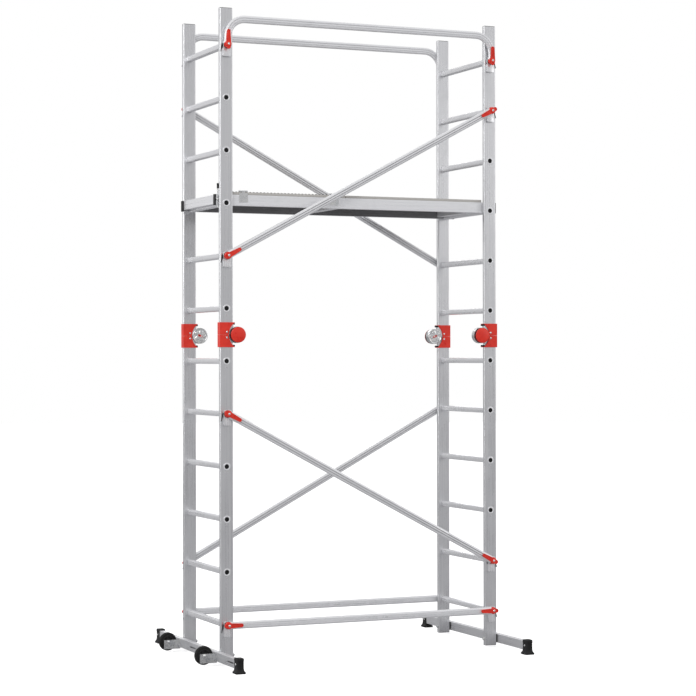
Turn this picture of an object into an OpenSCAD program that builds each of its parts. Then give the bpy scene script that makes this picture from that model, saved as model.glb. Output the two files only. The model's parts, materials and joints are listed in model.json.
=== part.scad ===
// Mobile tower scaffold: two folding ladder frames joined by braces, guard rails and a platform.
// X runs along the tower's width, -Y is its front, Z is up, and the floor is at Z = 0.

/* [Tower] */
// Distance between the two ladder frames, centre to centre
tower_w = 1575; // [1300:5:1900]
// Depth of a ladder frame over its stiles
frame_d = 612; // [540:2:760]
// Rungs in each of a frame's two sections
section_rungs = 6; // [5:1:7]
// Distance from one rung to the next
rung_pitch = 280; // [250:5:320]
// Distance from a stile's end to its nearest rung
end_margin = 195; // [150:5:240]
// Height of the stile ends above the floor
stile_lift = 13; // [10:1:20]

/* [Stiles and rungs] */
// Width of a stile, along X
stile_w = 73; // [60:1:90]
// Thickness of a stile, along Y
stile_t = 25; // [22:1:32]
// Wall of a stile
stile_wall = 2; // [1.5:0.1:3]
// Corner radius of a stile
stile_r = 7; // [4:0.5:10]
// Side of a square rung
rung_w = 30; // [26:1:34]
// Wall of a rung
rung_wall = 2; // [1.5:0.1:3]
// Corner radius of a rung
rung_r = 5; // [3:0.5:7]
// Diameter of the flare where a rung is swaged to a stile
flare_d = 41; // [38:1:50]
// Thickness of that flare
flare_t = 1.6; // [1:0.2:3]
// Height of a stile's end cap
cap_h = 6; // [4:1:9]
// Depth of a cap's plug
cap_plug = 12; // [8:1:14]

/* [Base] */
// Length of a base bar over its rubber feet
base_l = 1310; // [1100:10:1600]
// Width of a base bar
bar_w = 30; // [25:1:40]
// Height of a base bar
bar_h = 50; // [40:1:60]
// Wall of a base bar
bar_wall = 2.5; // [2:0.1:4]
// Height of a base bar's underside above the floor
bar_lift = 23; // [18:1:30]
// Thickness of the pad between a stile and its base bar
pad_t = 4; // [2:0.5:6]
// Width of a foot's body
foot_w = 38; // [36:1:60]
// Length of a foot's body
foot_l = 48; // [40:1:80]
// Height of a foot
foot_h = 80; // [76:1:100]
// How far a foot's sole spreads past its body
sole_flare = 8; // [6:1:16]
// Thickness of a foot's sole
sole_h = 9; // [6:1:14]
// Diameter of the base bolts
base_bolt_d = 8; // [6:1:10]

/* [Wheels] */
// Diameter of a wheel
wheel_d = 100; // [80:1:120]
// Width of a wheel
wheel_w = 26; // [20:1:34]
// Diameter of a wheel's hub
hub_d = 66; // [50:1:74]
// Diameter of a wheel's axle
axle_d = 10; // [8:1:14]
// Height of the wheel's lowest point above the floor
wheel_lift = 8; // [1:0.5:12]
// Clear space between a wheel and its base bar
wheel_gap = 18; // [12:1:30]
// Clear space between a wheel and each arm of its bracket
arm_gap = 3; // [2:0.5:6]
// How far a wheel stands forward of the middle of its stile
wheel_fore = 28; // [28:1:40]
// Sheet thickness of a wheel bracket
bracket_t = 3; // [2:0.5:5]
// Height of a wheel bracket
bracket_h = 50; // [40:1:60]

/* [Braces and guard rails] */
// Width of the flat-sided oval tube
tube_w = 40; // [34:1:44]
// Thickness of that tube
tube_t = 20; // [16:1:24]
// Wall of that tube
tube_wall = 1.6; // [1.2:0.1:2.5]
// Height of a guard rail's centre line above its rungs
rail_rise = 137; // [120:1:220]
// Radius of a guard rail's bends, on its centre line
rail_bend_r = 98; // [80:1:110]

/* [Clamps] */
// Diameter of the round end cap on a tube
knuckle_d = 38; // [34:1:44]
// Depth of that cap's plug in the tube
knuckle_plug = 15; // [10:1:18]
// Width of a clamp plate
plate_w = 42; // [36:1:50]
// Thickness of a clamp plate
plate_t = 2.5; // [2:0.5:4]
// Distance from a stile to its clamp plate
plate_stand = 8; // [6:0.5:12]
// How far a clamp plate reaches below its rung's centre
plate_drop = 64; // [50:1:80]
// Length of a lever from its pin to its tip
lever_l = 78; // [60:1:100]
// Length of a lever behind its pin
lever_tail = 27; // [20:1:34]
// Thickness of a lever
lever_t = 9; // [6:1:12]
// Width of a lever at its pin
lever_w = 29; // [24:1:34]
// Diameter of a clamp pin
clamp_pin_d = 8; // [6:1:10]

/* [Hinges] */
// Distance from a stile's middle to its hinge pin, towards the tower's inside
hinge_x = 59; // [56:1:70]
// Radius of the hinge discs
disc_r = 44; // [38:1:48]
// Sheet thickness of the hinge cheeks
cheek_t = 3; // [2:0.5:4]
// Diameter of a hinge pin
hinge_pin_d = 14; // [12:1:18]
// Height of a hinge cover half
cover_h = 66; // [60:1:80]
// Wall of a hinge cover
cover_t = 3.5; // [2.5:0.5:5]
// Radius of the bay that the cover leaves round its hinge disc
bay_r = 78; // [74:1:90]
// Diameter of a locking knob
knob_d = 84; // [70:1:90]
// Height of a locking knob
knob_h = 18; // [16:1:24]
// Travel of a locking knob
knob_travel = 6; // [4:0.5:8]
// Diameter of a lock pin
lock_pin_d = 9; // [7:1:11]
// Diameter of a rivet's shank
rivet_d = 6; // [4:0.5:7]

/* [Platform] */
// Height of a platform rail
deck_rail_h = 59; // [50:1:80]
// Width of a platform rail
deck_rail_w = 25; // [20:1:35]
// Wall of a platform rail
deck_rail_wall = 2; // [1.5:0.1:3]
// Clear space between a platform rail and the stiles beside it
deck_side_gap = 7.5; // [6:0.5:12]
// How far a rail lies below the top of the rung that it sits on
rung_hook = 26; // [20:1:30]
// How far a rail reaches past its rung's centre
rail_past = 46; // [40:1:60]
// Thickness of the deck boards
deck_t = 14; // [10:1:20]
// Width of a cross beam
beam_w = 30; // [25:1:40]
// Distance from the left rungs' centre to the middle cross beam
mid_beam = 705; // [600:5:800]
// Width of a hatch hinge
hatch_hinge_w = 50; // [40:1:70]
// Distance from the hatch's end to the middle of its hinge
hatch_hinge_in = 68; // [50:1:100]
// Diameter of a hatch hinge's pin
hatch_pin_d = 6; // [5:0.5:8]

/* [Fits] */
// Clearance between still pieces that fit into each other, on each side
fit = 0.2; // [0.1:0.05:0.3]
// Radial clearance of a running fit
run_fit = 0.05; // [0.02:0.01:0.08]

/* [Hidden] */
$fn = 48;
eps = 1;
LEFT = -1;
RIGHT = 1;
FRONT = -1;
BACK = 1;

// Heights
top_rung = 2 * section_rungs;
section_h = end_margin + (section_rungs - 0.5) * rung_pitch;
hinge_z = stile_lift + section_h;
stile_top = hinge_z + section_h;
section_gap = 2;
cover_seam = 0.6;
function rung_z(number) = stile_lift + end_margin + (number - 1) * rung_pitch;

// Base
bar_x = stile_w / 2 + pad_t + bar_w / 2;
bar_mid_z = bar_lift + bar_h / 2;
wheel_x = bar_x + bar_w / 2 + wheel_gap + wheel_d / 2;
axle_z = wheel_lift + wheel_d / 2;
left_reach = wheel_x + wheel_d / 2;
right_reach = bar_x + foot_w / 2 + sole_flare;
shift_x = (left_reach - right_reach) / 2;
bar_r = 3;
foot_end = 8;
arm_past = 27;
bracket_rivet_z = 12;
slot_l = 90;
slot_h = 6;
slot_fore = 225;
function frame_x(side) = side * tower_w / 2 + shift_x;
function wheel_y(face) = face * (frame_d - stile_t) / 2 - wheel_fore;

// Play between a turning part and the heads or plates beside it
play = 0.3;

// Clamps, stacked outwards from a stile's outer face
plate_y = plate_stand;
knuckle_y = plate_y + plate_t;
knuckle_t = tube_t + 2;
tube_y = knuckle_y + knuckle_t / 2;
lever_y = knuckle_y + knuckle_t + play;
pin_head_y = lever_y + lever_t + play;
pin_head_h = 3;
pin_head_d = 13;
hook_in = 30;
hook_collar_d = 34;
tongue_l = 46;
tongue_w = 4;
tongue_tilt = 14;

// Hinges
bay_in = 49;
bay_x = hinge_x + bay_r - bay_in;
cheek_h = cover_h - cover_t - 1;
knob_y = cheek_t + knob_travel + 1;
knob_wall = 3;
knob_dome = 5;
knob_roof = knob_dome + 2.5;
lock_pin_at = 27;
lock_pin_in = 14;
spring_d = 36;
spring_wall = 2;
rivet_z = 15;
rivet_head_d = 11;
rivet_head_h = 2.5;

// Platform
deck_rung = top_rung - 3;
rung_top = rung_z(deck_rung) + rung_w / 2;
deck_rail_z = rung_top - rung_hook;
deck_z = deck_rail_z + deck_rail_h;
deck_rail_y = frame_d / 2 - stile_t - deck_side_gap - deck_rail_w / 2;
deck_out_y = deck_rail_y + deck_rail_w / 2;
deck_in_y = deck_rail_y - deck_rail_w / 2;
beam_h = deck_rail_h - 9;
beam_at = 42;
rail_cap_t = 8;
hatch_pin_up = 5;
hatch_clear = 4;
hatch_from = frame_x(LEFT) + stile_w / 2 + hatch_clear;
hatch_to = frame_x(LEFT) + mid_beam - 1;
board_to = frame_x(RIGHT) - beam_at + 7;
leaf_t = 2.5;
leaf_l = 52;
lock_x = 38;
lock_z = deck_rail_z + 31;
lock_t = 3;
lock_w = 9;
lock_rise = 86;
lock_toe = 38;
lock_bolt_d = 6;
lock_y = deck_out_y + play;
lock_head_d = 12;
lock_head_h = 2.5;
toe_clear = 2;

// ---------- Shared shapes ----------

module rounded_square(w, h, r) {
    square([w - 2 * r, h], center = true);
    square([w, h - 2 * r], center = true);
    for (x = [-1, 1], y = [-1, 1])
        translate([x * (w / 2 - r), y * (h / 2 - r)])
            circle(r = r);
}

// A flat-sided oval with its long side along X
module oval(w, t) {
    square([w - t, t], center = true);
    for (x = [-1, 1])
        translate([x * (w - t) / 2, 0])
            circle(d = t);
}

// The section of a brace or guard rail, with two shallow grooves in each flat side
module tube_section() {
    groove_r = 1;
    difference() {
        oval(tube_w, tube_t);
        oval(tube_w - 2 * tube_wall, tube_t - 2 * tube_wall);
        for (x = [-1, 1], y = [-1, 1])
            translate([x * tube_w / 7, y * (tube_t / 2 + groove_r * 0.4)])
                circle(r = groove_r, $fn = 16);
    }
}

// A rod along Y, from y0 to y1
module rod_y(d, y0, y1) {
    translate([0, y0, 0])
        rotate([-90, 0, 0])
            cylinder(d = d, h = y1 - y0);
}

// A rod along X, from x0 to x1
module rod_x(d, x0, x1) {
    translate([x0, 0, 0])
        rotate([0, 90, 0])
            cylinder(d = d, h = x1 - x0);
}

// A low domed head on a rod along Y, standing from y towards +Y
module head_y(d, y, h) {
    ball_r = (d * d / 4 + h * h) / (2 * h);
    translate([0, y, 0])
        rotate([-90, 0, 0])
            rotate_extrude()
                intersection() {
                    square([d / 2, h]);
                    translate([0, h - ball_r])
                        circle(r = ball_r, $fn = 96);
                }
}

// Puts its children at one stile: x runs to the tower's inside, y outwards from the outer face
module at_stile(side, face) {
    translate([frame_x(side), face * frame_d / 2, 0])
        mirror([side > 0 ? 1 : 0, 0, 0])
            mirror([0, face < 0 ? 1 : 0, 0])
                children();
}

module at_hinge(side, face) {
    at_stile(side, face)
        translate([hinge_x, 0, hinge_z])
            children();
}

// ---------- Ladder frames ----------

module stile_section() {
    difference() {
        rounded_square(stile_w, stile_t, stile_r);
        rounded_square(stile_w - 2 * stile_wall, stile_t - 2 * stile_wall, stile_r - stile_wall);
    }
}

module rung_hole() {
    rotate([90, 0, 0])
        linear_extrude(height = 2 * stile_t + eps, center = true)
            rounded_square(rung_w + 2 * fit, rung_w + 2 * fit, rung_r);
}

// The pair of stiles of one frame section; half is 0 for the lower and 1 for the upper section
module stile_pair(side, half) {
    low = half == 0 ? stile_lift : hinge_z + section_gap / 2;
    first_rung = half == 0 ? 1 : section_rungs + 1;
    rivet_side = half == 0 ? -1 : 1;
    for (face = [FRONT, BACK])
        at_stile(side, face)
            difference() {
                translate([0, -stile_t / 2, low])
                    linear_extrude(height = section_h - section_gap / 2)
                        stile_section();
                for (number = [first_rung : first_rung + section_rungs - 1])
                    translate([0, 0, rung_z(number)])
                        rung_hole();
                translate([hinge_x, 0, hinge_z])
                    rod_y(2 * disc_r + 6, -stile_t - eps, eps);
                translate([0, 0, hinge_z + rivet_side * rivet_z])
                    rod_y(rivet_d + 2 * fit, -stile_t - eps, eps);
                if (half == 0)
                    translate([0, -stile_t / 2, bar_mid_z])
                        rod_x(base_bolt_d + 2 * fit, -stile_w, stile_w);
            }
}

module lower_stiles(side) {
    color("silver") stile_pair(side, 0);
}

module upper_stiles(side) {
    color("silver") stile_pair(side, 1);
}

// One rung: a square tube flared outside and beaded inside both stiles
module rung() {
    reach = frame_d / 2 + flare_t;
    bead_y = frame_d / 2 - stile_t;
    difference() {
        union() {
            rotate([90, 0, 0])
                linear_extrude(height = 2 * reach, center = true)
                    rounded_square(rung_w, rung_w, rung_r);
            for (face = [FRONT, BACK])
                mirror([0, face < 0 ? 1 : 0, 0]) {
                    rod_y(flare_d, frame_d / 2, reach);
                    rod_y(flare_d - 2, bead_y - flare_t, bead_y);
                }
        }
        rotate([90, 0, 0])
            linear_extrude(height = 2 * reach + eps, center = true)
                rounded_square(rung_w - 2 * rung_wall, rung_w - 2 * rung_wall, rung_r - rung_wall);
    }
}

module rungs(side) {
    color("gainsboro")
        for (number = [1 : top_rung])
            translate([frame_x(side), 0, rung_z(number)])
                rung();
}

// A stile's end cap: a plug under a gently arched lid, with the stile's end at z = 0
module stile_cap() {
    arch_r = 160;
    plug_w = stile_w - 2 * stile_wall - 2 * fit;
    plug_t = stile_t - 2 * stile_wall - 2 * fit;
    translate([0, 0, -cap_plug])
        linear_extrude(height = cap_plug)
            rounded_square(plug_w, plug_t, stile_r - stile_wall - fit);
    intersection() {
        linear_extrude(height = cap_h)
            rounded_square(stile_w, stile_t, stile_r);
        translate([0, 0, cap_h - arch_r])
            rod_y(2 * arch_r, -stile_t, stile_t, $fn = 96);
    }
}

module stile_caps() {
    color("dimgray")
        for (side = [LEFT, RIGHT], face = [FRONT, BACK])
            at_stile(side, face)
                translate([0, -stile_t / 2, 0]) {
                    translate([0, 0, stile_top])
                        stile_cap();
                    translate([0, 0, stile_lift])
                        mirror([0, 0, 1])
                            stile_cap();
                }
}

// ---------- Base ----------

module at_bar(side) {
    translate([frame_x(side) + side * bar_x, 0, bar_mid_z])
        children();
}

// Puts its children at the wheel brackets' rivets on the left bar, with x = 0 on its outer face
module at_bar_rivets() {
    for (face = [FRONT, BACK], z = [-bracket_rivet_z, bracket_rivet_z])
        translate([-bar_w / 2, wheel_y(face), z])
            children();
}

module base_bars() {
    color("silver")
        for (side = [LEFT, RIGHT])
            at_bar(side)
                difference() {
                    rotate([90, 0, 0])
                        linear_extrude(height = base_l - 2 * foot_end - 2 * fit, center = true)
                            difference() {
                                rounded_square(bar_w, bar_h, bar_r);
                                rounded_square(bar_w - 2 * bar_wall, bar_h - 2 * bar_wall, bar_r / 3);
                            }
                    if (side == LEFT)
                        at_bar_rivets()
                            rod_x(rivet_d + 2 * fit, -eps, bar_wall + eps);
                    for (face = [FRONT, BACK]) {
                        translate([0, face * (base_l - foot_l) / 2, 0])
                            rod_x(rivet_d + 2 * fit, -bar_w, bar_w);
                        translate([0, face * (frame_d - stile_t) / 2, 0])
                            rod_x(base_bolt_d + 2 * fit, -bar_w, bar_w);
                        if (side == LEFT)
                            translate([-bar_w / 2, wheel_y(face) - slot_fore, 0])
                                cube([3 * bar_wall, slot_l, slot_h], center = true);
                    }
                }
}

module bar_pads() {
    color("black")
        for (side = [LEFT, RIGHT], face = [FRONT, BACK])
            at_stile(side, face)
                translate([-stile_w / 2 - pad_t, -stile_t / 2, bar_mid_z])
                    difference() {
                        translate([0, -stile_t / 2 + 2, -bar_h / 2 + 2])
                            cube([pad_t, stile_t - 4, bar_h - 4]);
                        rod_x(base_bolt_d + 2 * fit, -eps, pad_t + eps);
                    }
}

// One rubber foot under the bar's end, with its middle at x = y = 0 and its mouth towards -Y
module base_foot() {
    skirt_h = bar_lift;
    difference() {
        union() {
            linear_extrude(height = foot_h)
                rounded_square(foot_w, foot_l, 5);
            linear_extrude(height = skirt_h)
                rounded_square(foot_w + sole_flare, foot_l + sole_flare, 7);
            linear_extrude(height = sole_h)
                rounded_square(foot_w + 2 * sole_flare, foot_l + 2 * sole_flare, 9);
        }
        translate([0, foot_l / 2 - foot_end, bar_mid_z])
            rotate([90, 0, 0])
                linear_extrude(height = 2 * foot_l)
                    rounded_square(bar_w + 2 * fit, bar_h + 2 * fit, bar_r);
        translate([0, 0, bar_mid_z])
            rod_x(rivet_d + 2 * fit, -foot_w, foot_w);
    }
}

module base_feet() {
    color("black")
        for (side = [LEFT, RIGHT], face = [FRONT, BACK])
            translate([frame_x(side) + side * bar_x, 0, 0])
                mirror([0, face < 0 ? 1 : 0, 0])
                    translate([0, base_l / 2 - foot_l / 2, 0])
                        base_foot();
}

module base_bolt() {
    head_h = 5;
    nut_h = 7;
    outer_x = -bar_x - bar_w / 2;
    inner_x = stile_w / 2;
    rod_x(base_bolt_d, outer_x - 1, inner_x + nut_h + 3);
    rod_x(2 * base_bolt_d, outer_x - head_h, outer_x);
    translate([inner_x, 0, 0])
        rotate([0, 90, 0])
            cylinder(d = 2.1 * base_bolt_d, h = nut_h, $fn = 6);
    rod_x(2.4 * base_bolt_d, inner_x, inner_x + 1.6);
}

// A domed rivet through a foot and the bar's end inside it
module foot_rivet() {
    rod_x(rivet_d, -foot_w / 2 - 1, foot_w / 2 + 1);
    for (turn = [90, -90])
        rotate([0, 0, turn])
            head_y(rivet_head_d, foot_w / 2, rivet_head_h);
}

// A rivet through a wheel bracket's back plate and the bar's outer wall
module bracket_rivet() {
    rod_x(rivet_d, -bracket_t - 1, bar_wall + 0.5);
    translate([-bracket_t, 0, 0])
        rotate([0, 0, 90])
            head_y(rivet_head_d, 0, rivet_head_h);
    rod_x(rivet_head_d - 1, bar_wall, bar_wall + 1.5);
}

module base_bolts() {
    color("gray")
        for (side = [LEFT, RIGHT], face = [FRONT, BACK]) {
            at_stile(side, face)
                translate([0, -stile_t / 2, bar_mid_z])
                    base_bolt();
            at_bar(side)
                translate([0, face * (base_l - foot_l) / 2, 0])
                    foot_rivet();
        }
    color("gray")
        at_bar(LEFT)
            at_bar_rivets()
                bracket_rivet();
}

// ---------- Wheels ----------

module at_wheel(face) {
    translate([frame_x(LEFT) - wheel_x, wheel_y(face), axle_z])
        children();
}

arm_in = wheel_w / 2 + arm_gap;
bracket_low = bar_lift - 5 - axle_z;

// Puts its children at a bracket's two rivets, with x = 0 on the base bar's outer face
module at_bracket_rivets() {
    for (z = [-bracket_rivet_z, bracket_rivet_z])
        translate([wheel_x - bar_x - bar_w / 2, 0, bar_mid_z - axle_z + z])
            children();
}

module wheel_bracket() {
    back_x = wheel_x - bar_x - bar_w / 2;
    difference() {
        union() {
            for (y = [-arm_in - bracket_t, arm_in])
                translate([-arm_past, y, bracket_low])
                    cube([back_x + arm_past, bracket_t, bracket_h]);
            translate([back_x - bracket_t, -arm_in - bracket_t, bracket_low])
                cube([bracket_t, 2 * arm_in + 2 * bracket_t, bracket_h]);
        }
        rod_y(axle_d + 2 * fit, -arm_in - 2 * bracket_t, arm_in + 2 * bracket_t);
        at_bracket_rivets()
            rod_x(rivet_d + 2 * fit, -2 * bracket_t, eps);
    }
}

module wheel_brackets() {
    color("lightgray")
        for (face = [FRONT, BACK])
            at_wheel(face)
                wheel_bracket();
}

module wheel_axle() {
    head_h = 4;
    end_y = arm_in + bracket_t;
    rod_y(axle_d, -end_y - 1, end_y + 1);
    head_y(1.7 * axle_d, end_y, head_h);
    mirror([0, 1, 0])
        head_y(1.7 * axle_d, end_y, head_h);
}

module wheel_axles() {
    color("whitesmoke")
        for (face = [FRONT, BACK])
            at_wheel(face)
                wheel_axle();
}

// The hub's rim carries the tyre, and a thin web joins it to the boss
module wheel_hub(face) {
    boss_d = 2.4 * axle_d;
    boss_w = wheel_w + 2 * arm_gap - 1;
    rim_w = wheel_w - 4;
    color("dimgray")
        at_wheel(face)
            rotate([90, 0, 0])
                rotate_extrude()
                    translate([axle_d / 2 + run_fit, 0]) {
                        bore_r = axle_d / 2 + run_fit;
                        translate([0, -boss_w / 2])
                            square([boss_d / 2 - bore_r, boss_w]);
                        translate([0, -3])
                            square([hub_d / 2 - bore_r, 6]);
                        translate([hub_d / 2 - 5 - bore_r, -rim_w / 2])
                            square([5, rim_w]);
                    }
}

module wheel_tyre(face) {
    in_r = hub_d / 2 + fit;
    out_r = wheel_d / 2;
    round_r = min(8, (out_r - in_r) / 2);
    color("black")
        at_wheel(face)
            rotate([90, 0, 0])
                rotate_extrude($fn = 96) {
                    translate([in_r, -wheel_w / 2])
                        square([out_r - round_r - in_r, wheel_w]);
                    translate([in_r, -wheel_w / 2 + round_r])
                        square([out_r - in_r, wheel_w - 2 * round_r]);
                    for (y = [-1, 1])
                        translate([out_r - round_r, y * (wheel_w / 2 - round_r)])
                            circle(r = round_r);
                }
}

// ---------- Braces, guard rails and clamps ----------

// Rung numbers at the left and right end of each tube
function end_rungs(face, level) =
    level == "rail" ? [top_rung, top_rung] :
    level == "base" ? [1, 1] :
    level == "upper" ?
        (face == FRONT ? [section_rungs + 2, top_rung - 1] : [top_rung - 1, section_rungs + 2]) :
        (face == FRONT ? [section_rungs - 1, 2] : [2, section_rungs - 1]);
function near_rung(side, face, level) = end_rungs(face, level)[side == LEFT ? 0 : 1];
function far_rung(side, face, level) = end_rungs(face, level)[side == LEFT ? 1 : 0];
function tube_rise(side, face, level) =
    rung_z(far_rung(side, face, level)) - rung_z(near_rung(side, face, level));
function tube_angle(side, face, level) =
    level == "rail" ? 90 : atan2(tube_rise(side, face, level), tower_w);
LEVELS = ["rail", "upper", "lower", "base"];

// Puts its children at a rung's end, with y = 0 on the stile's outer face
module at_clamp(side, face, level) {
    at_stile(side, face)
        translate([0, 0, rung_z(near_rung(side, face, level))])
            children();
}

// Repeats its children at every clamp, turned to lie along the clamp's tube if turned is 1
module each_clamp(turned) {
    for (side = [LEFT, RIGHT], face = [FRONT, BACK], level = LEVELS)
        at_clamp(side, face, level)
            rotate([0, -turned * tube_angle(side, face, level), 0])
                children();
}

// The straight tube from a left clamp to a right clamp, hollowed to fit round its end caps
module brace(face, level) {
    rise = tube_rise(LEFT, face, level);
    length = sqrt(tower_w * tower_w + rise * rise);
    at_clamp(LEFT, face, level)
        rotate([0, -tube_angle(LEFT, face, level), 0])
            translate([0, tube_y, 0])
                difference() {
                    rotate([90, 0, 90])
                        linear_extrude(height = length)
                            rotate(90)
                                tube_section();
                    for (x = [0, length])
                        translate([x, 0, 0])
                            rod_y(knuckle_d + 2 * fit, -tube_t, tube_t);
                }
}

module brace_pair(face) {
    color("silver")
        for (level = ["upper", "lower"])
            brace(face, level);
}

module base_braces() {
    color("silver")
        for (face = [FRONT, BACK])
            brace(face, "base");
}

// One guard rail: a leg up from each clamp, a bend, and a straight run between the bends
module guard_rail(face) {
    leg = rail_rise - rail_bend_r;
    half = tower_w / 2;
    translate([shift_x, face * (frame_d / 2 + tube_y), rung_z(top_rung)])
        difference() {
            union() {
                for (side = [LEFT, RIGHT])
                    mirror([side > 0 ? 1 : 0, 0, 0]) {
                        translate([-half, 0, 0])
                            linear_extrude(height = leg)
                                tube_section();
                        translate([-half + rail_bend_r, 0, leg])
                            rotate([90, 0, 0])
                                rotate_extrude(angle = 90, start = 90)
                                    translate([rail_bend_r, 0])
                                        tube_section();
                    }
                translate([-half + rail_bend_r, 0, rail_rise])
                    rotate([90, 0, 90])
                        linear_extrude(height = 2 * (half - rail_bend_r))
                            rotate(90)
                                tube_section();
            }
            for (side = [LEFT, RIGHT])
                translate([side * half, 0, 0])
                    rod_y(knuckle_d + 2 * fit, -tube_t, tube_t);
        }
}

module guard_rails() {
    color("gainsboro")
        for (face = [FRONT, BACK])
            guard_rail(face);
}

// The hook's shank fills the rung's open end, and its tongue hangs behind the plate's edge
module clamp_hook() {
    shank_w = rung_w - 2 * rung_wall - 2 * fit;
    difference() {
        union() {
            translate([0, (flare_t - hook_in) / 2, 0])
                rotate([90, 0, 0])
                    linear_extrude(height = hook_in + flare_t, center = true)
                        rounded_square(shank_w, shank_w, rung_r - rung_wall - fit);
            rod_y(hook_collar_d, flare_t, plate_y);
            rotate([0, tongue_tilt, 0])
                translate([-plate_w / 2 - tongue_w, plate_y - 3, -tongue_l])
                    cube([tongue_w, 2.5, tongue_l]);
            translate([-plate_w / 2 - tongue_w, plate_y - 3, -tongue_w / 2])
                cube([plate_w / 2, 2.5, tongue_w]);
        }
        rod_y(clamp_pin_d + 2 * fit, 0, plate_y + eps);
    }
}

module clamp_hooks() {
    color("black")
        each_clamp(0)
            clamp_hook();
}

// The clamp plate hangs below the rung and bears on the stile with its bent lower edge
module clamp_plate() {
    head_z = 20;
    difference() {
        union() {
            translate([0, plate_y, (head_z - plate_drop) / 2])
                rotate([-90, 0, 0])
                    linear_extrude(height = plate_t)
                        rounded_square(plate_w, head_z + plate_drop, 5);
            translate([-plate_w / 2 + 5, 0, -plate_drop])
                cube([plate_w - 10, plate_y + plate_t, plate_t]);
        }
        rod_y(clamp_pin_d + 2 * fit, -eps, plate_y + plate_t + eps);
    }
}

module clamp_plates() {
    color("whitesmoke")
        each_clamp(0)
            clamp_plate();
}

// The round red cap that closes a tube's end, with its plug inside the tube
module clamp_knuckle() {
    plug_w = tube_w - 2 * tube_wall - 2 * fit;
    plug_t = tube_t - 2 * tube_wall - 2 * fit;
    difference() {
        union() {
            rod_y(knuckle_d, knuckle_y, knuckle_y + knuckle_t);
            translate([0, tube_y, 0])
                rotate([90, 0, 90])
                    linear_extrude(height = knuckle_d / 2 + knuckle_plug)
                        rotate(90)
                            oval(plug_w, plug_t);
        }
        rod_y(clamp_pin_d + 2 * fit, 0, lever_y);
    }
}

module clamp_knuckles() {
    color("firebrick")
        each_clamp(1)
            clamp_knuckle();
}

module clamp_pin() {
    rod_y(clamp_pin_d, 3, pin_head_y + 1);
    head_y(pin_head_d, pin_head_y, pin_head_h);
}

module clamp_pins() {
    color("white")
        each_clamp(0)
            clamp_pin();
}

// A lever seen from the front: round at its pin, with a round tail and a narrower round tip
module lever_outline() {
    tip_r = lever_w * 0.34;
    tail_r = lever_w * 0.4;
    side_w = lever_w * 0.48;
    circle(d = lever_w);
    polygon([
        [-lever_tail + tail_r, -tail_r], [0, -side_w], [lever_l - tip_r, -tip_r],
        [lever_l - tip_r, tip_r], [0, side_w], [-lever_tail + tail_r, tail_r]
    ]);
    translate([lever_l - tip_r, 0])
        circle(r = tip_r);
    translate([-lever_tail + tail_r, 0])
        circle(r = tail_r);
}

module lever(side, face, level) {
    color("red")
        at_clamp(side, face, level)
            rotate([0, -tube_angle(side, face, level), 0])
                difference() {
                    translate([0, lever_y + lever_t, 0])
                        rotate([90, 0, 0])
                            linear_extrude(height = lever_t)
                                lever_outline();
                    rod_y(clamp_pin_d + 2 * run_fit, lever_y - eps, lever_y + lever_t + eps);
                }
}

// ---------- Hinges ----------

module lock_pin_places() {
    for (angle = [60, 240])
        rotate([0, angle, 0])
            translate([lock_pin_at, 0, 0])
                children();
}

// One cheek plate from y to y + cheek_t: its disc round the pin and its tail on the upper stile
module cheek(y) {
    tail_x = -hinge_x - stile_w / 2 + 7;
    difference() {
        union() {
            rod_y(2 * disc_r, y, y + cheek_t);
            translate([tail_x, y, section_gap / 2])
                cube([-hinge_x + stile_w / 2 - tail_x, cheek_t, cheek_h - section_gap / 2]);
        }
        rod_y(hinge_pin_d + 2 * fit, y - eps, y + cheek_t + eps);
        lock_pin_places()
            rod_y(lock_pin_d + 2 * run_fit, y - eps, y + cheek_t + eps);
        translate([-hinge_x, 0, rivet_z])
            rod_y(rivet_d + 2 * fit, y - eps, y + cheek_t + eps);
    }
}

module hinge_cheeks() {
    color("lightgray")
        for (side = [LEFT, RIGHT], face = [FRONT, BACK])
            at_hinge(side, face) {
                cheek(0);
                cheek(-stile_t - cheek_t);
            }
}

// The lower arm: a thick drum between the cheeks, with its tongue inside the lower stile
module hinge_drum() {
    tongue_x = stile_w / 2 - stile_wall - fit;
    tongue_y = stile_t / 2 - stile_wall - fit;
    difference() {
        union() {
            rod_y(2 * disc_r - 2, -stile_t + play, -play);
            translate([-hinge_x, -stile_t / 2, -cheek_h])
                linear_extrude(height = cheek_h - section_gap / 2)
                    rounded_square(2 * tongue_x, 2 * tongue_y, stile_r - stile_wall - fit);
        }
        rod_y(hinge_pin_d + 2 * fit, -2 * stile_t, stile_t);
        lock_pin_places()
            rod_y(lock_pin_d + 2 * run_fit, -lock_pin_in - knob_travel - 1, eps);
        translate([-hinge_x, 0, -rivet_z])
            rod_y(rivet_d + 2 * fit, -2 * stile_t, stile_t);
        translate([-hinge_x - tongue_x - eps, -stile_t / 2 - tongue_y + 4, -cheek_h + 4])
            cube([tongue_x - 4, 2 * tongue_y - 8, cheek_h / 2]);
    }
}

module hinge_drums() {
    color("gray")
        for (side = [LEFT, RIGHT], face = [FRONT, BACK])
            at_hinge(side, face)
                hinge_drum();
}

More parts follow.
